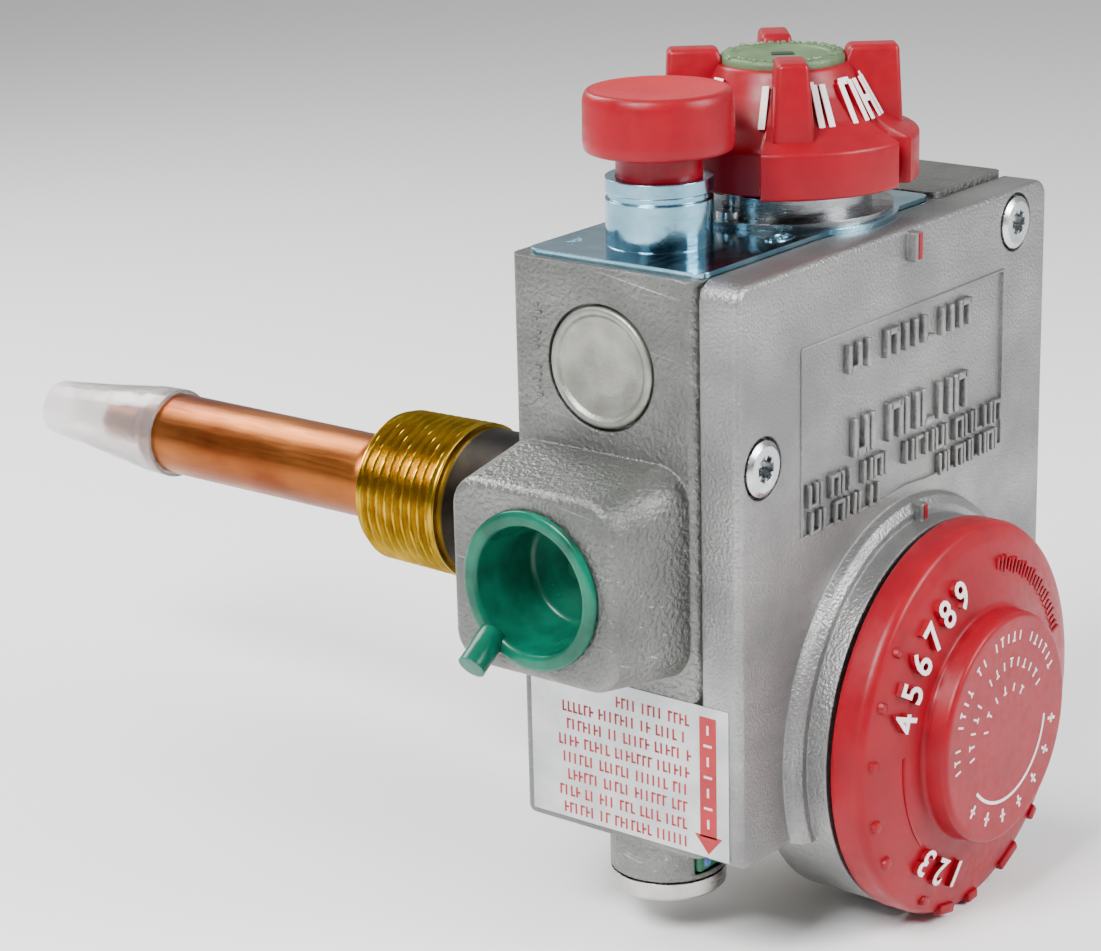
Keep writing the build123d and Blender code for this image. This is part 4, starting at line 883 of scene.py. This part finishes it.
relief = []
ROWS = ((35.4, -2.6, 34.6, 4.4, 7, 1.0), (22.9, -0.5, 33.5, 6.0, 7, 1.15), (16.9, -12.5, 44.0, 3.7, 19, 0.62),
        (12.6, -12.0, 7.5, 3.6, 6, 0.62), (12.4, 24.5, 44.0, 3.6, 8, 0.62))
for z, start, stop, tall, count, stroke in ROWS:
    pitch = (stop - start) / count
    for k in range(count):
        if count == 19 and k in (4, 8):
            continue
        x = start + (k + 0.5) * pitch
        wide = min(pitch * 0.62, tall * 0.62)
        relief.append(cover_bar(stroke, tall, x - wide / 2, z, 0.45))
        if k % 3 != 1:
            relief.append(cover_bar(stroke, tall, x + wide / 2, z, 0.45))
        if k % 2 == 0:
            relief.append(cover_bar(wide, stroke, x, z + (tall - stroke) / 2 * (1 if k % 4 else -1), 0.45))
PANEL_X, PANEL_Z = (-13.9, 44.1), (11.2, 39.7)
relief.append(cover_bar(PANEL_X[1] - PANEL_X[0], 0.45, sum(PANEL_X) / 2, PANEL_Z[1], 0.22))
relief.append(cover_bar(0.45, PANEL_Z[1] - PANEL_Z[0], PANEL_X[0], sum(PANEL_Z) / 2, 0.22))
skin("cover_relief", relief, cover_finish, "valve_body")

# %% Side and top relief
side_marks = [put(block((0.5, 1.3 - 0.5 * (k % 2), 0.42), 0.08, 2),
                  (LEFT_FACE, -45.2 + 0.3 * (k % 3 - 1), 31.4 + k * 1.05))
              for k in range(14) if k not in (5, 6, 10)]
top_marks = [put(block((0.5, 1.5 - 0.5 * (k % 3 == 0), 0.5), 0.1, 2),
                 (38.0 + 1.35 * (k % 10), -52.0 + 3.0 * (k // 10), BODY_HIGH[2])) for k in range(40) if k % 7]
skin("body_relief", side_marks + top_marks, body_finish, "valve_body")
oval = turned([(1.45, -0.1), (1.8, -0.1), (1.8, 0.14), (1.45, 0.14), (1.45, -0.1)], 40) * [1.7, 1, 1]
stamp = [put(oval, (-4.0, -70.6, PLATE_TOP))]
for k in range(4):
    stamp.append(put(block((0.4, 1.5 - 0.5 * (k % 2), 0.3), 0.08, 2), (-5.4 + 0.9 * k, -70.6, PLATE_TOP)))
for k in range(4):
    stamp.append(put(block((0.35, 1.3 - 0.4 * (k % 2), 0.3), 0.08, 2), (-22.6 + 0.8 * k, -46.0, PLATE_TOP)))
skin("plate_stamp", stamp, zinc, "valve_body")
print("relief done")

# %% [markdown]
# ## Pointers and connector
# Both pointers on the cover have a red painted front. The connector in the neck is a green block with a
# white and a blue wire end.

# %% Pointers and connector
# X, distance in front of the cover, height and length of each painted strip.
POINTERS = ((16.0, -1.65, 49.3, 4.1), (DIAL[0] + 0.35, -3.45, DIAL[2] + 32.3, 2.3))
painted = [put(block((0.95, 0.14, tall), 0.03, 2), (x, COVER_FACE + out, z)) for x, out, z, tall in POINTERS]
skin("pointer_paint", painted, red, "valve_body")
PLUG_BOX = corners("wire_connector")
size = PLUG_BOX[1] - PLUG_BOX[0]
centre = (PLUG_BOX[0] + PLUG_BOX[1]) / 2
green_block = moulded("moulded_green_plastic", "0c6b45", "095a3a", 0.4)
white_block = moulded("moulded_white_plastic", "e4e2dc", "d2d0ca", 0.45)
blue_wire = moulded("blue_wire_insulation", "5f7fc4", "4c6cb4", 0.4)
front = PLUG_BOX[0][1] + 0.45
body = skin("connector_block", [put(block(size * [1, 0.9, 1], 0.4, 3), centre + [0, size[1] * 0.05, 0])],
            green_block, "wire_connector")
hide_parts("wire_connector")
ends = skin("connector_white", [put(block((3.0, 1.0, 2.6), 0.3, 3), (centre[0] + 1.4, front, centre[2] + 0.6))],
            white_block, "wire_connector")
wire = skin("connector_blue", [put(block((1.5, 1.0, 1.6), 0.4, 3), (centre[0] - 2.2, front, centre[2] - 1.2))],
            blue_wire, "wire_connector")

# %% [markdown]
# ## Floor and light
# A wide pale floor, a bright even sky that is darker behind the camera, and three large soft lamps. The
# darker part of the sky is what gives polished metal its dark middle band.

# %% Floor
FLOOR_Z = min(BODY_LOW[2], DIAL_LOW[2], COVER_LOW[2]) - 0.4
floor_mesh = bpy.data.meshes.new("floor")
FLOOR_REACH = 12.0
floor_mesh.from_pydata([(x * FLOOR_REACH, y * FLOOR_REACH, FLOOR_Z * MM)
                        for x, y in ((-1, -1), (1, -1), (1, 1), (-1, 1))], [], [(0, 1, 2, 3)])
floor = bpy.data.objects.new("floor", floor_mesh)
bpy.context.scene.collection.objects.link(floor)
paper = new_finish("white_background_paper", "f6f6f6", 0.9)
emboss(paper, clouds(paper, 3, detail=2), 0.01)
floor_mesh.materials.append(paper)
print("floor at %.1f mm" % FLOOR_Z)

# %% Sky and lamps
world = bpy.data.worlds.new("studio")
world.use_nodes = True
bpy.context.scene.world = world
sight = add(world, "ShaderNodeTexCoord").outputs["Generated"]
facing = add(world, "ShaderNodeVectorMath", {0: sight, 1: tuple(back)},
             operation="DOT_PRODUCT").outputs["Value"]
dimmer = add(world, "ShaderNodeMapRange", {0: facing, 1: 0.45, 2: 0.95, 3: 0.50, 4: 0.03}).outputs[0]
world.node_tree.nodes["Background"].inputs["Color"].default_value = (1, 1, 1, 1)
world.node_tree.links.new(dimmer, world.node_tree.nodes["Background"].inputs["Strength"])


def lamp(name, position, aim, size, power):
    """A square area lamp at a position, turned to its aim. Millimetres and watts."""
    light = bpy.data.lights.new(name, "AREA")
    light.shape = "SQUARE"
    light.size = size * MM
    light.energy = power
    holder = bpy.data.objects.new(name, light)
    away = np.array(position, float) - np.array(aim, float)
    away /= np.linalg.norm(away)
    across = np.cross((0, 0, 1), away)
    across /= np.linalg.norm(across)
    matrix = np.eye(4)
    matrix[:3, :3] = np.stack([across, np.cross(away, across), away], axis=1)
    matrix[:3, 3] = np.array(position) * MM
    holder.matrix_world = Matrix(matrix.tolist())
    bpy.context.scene.collection.objects.link(holder)


lamp("key", (-430, -60, 430), (0, -50, 0), 240, 7.0)
lamp("front", (160, -560, 330), (10, -60, 10), 260, 5.0)
lamp("rear", (40, 420, 400), (0, -20, 20), 300, 4.0)
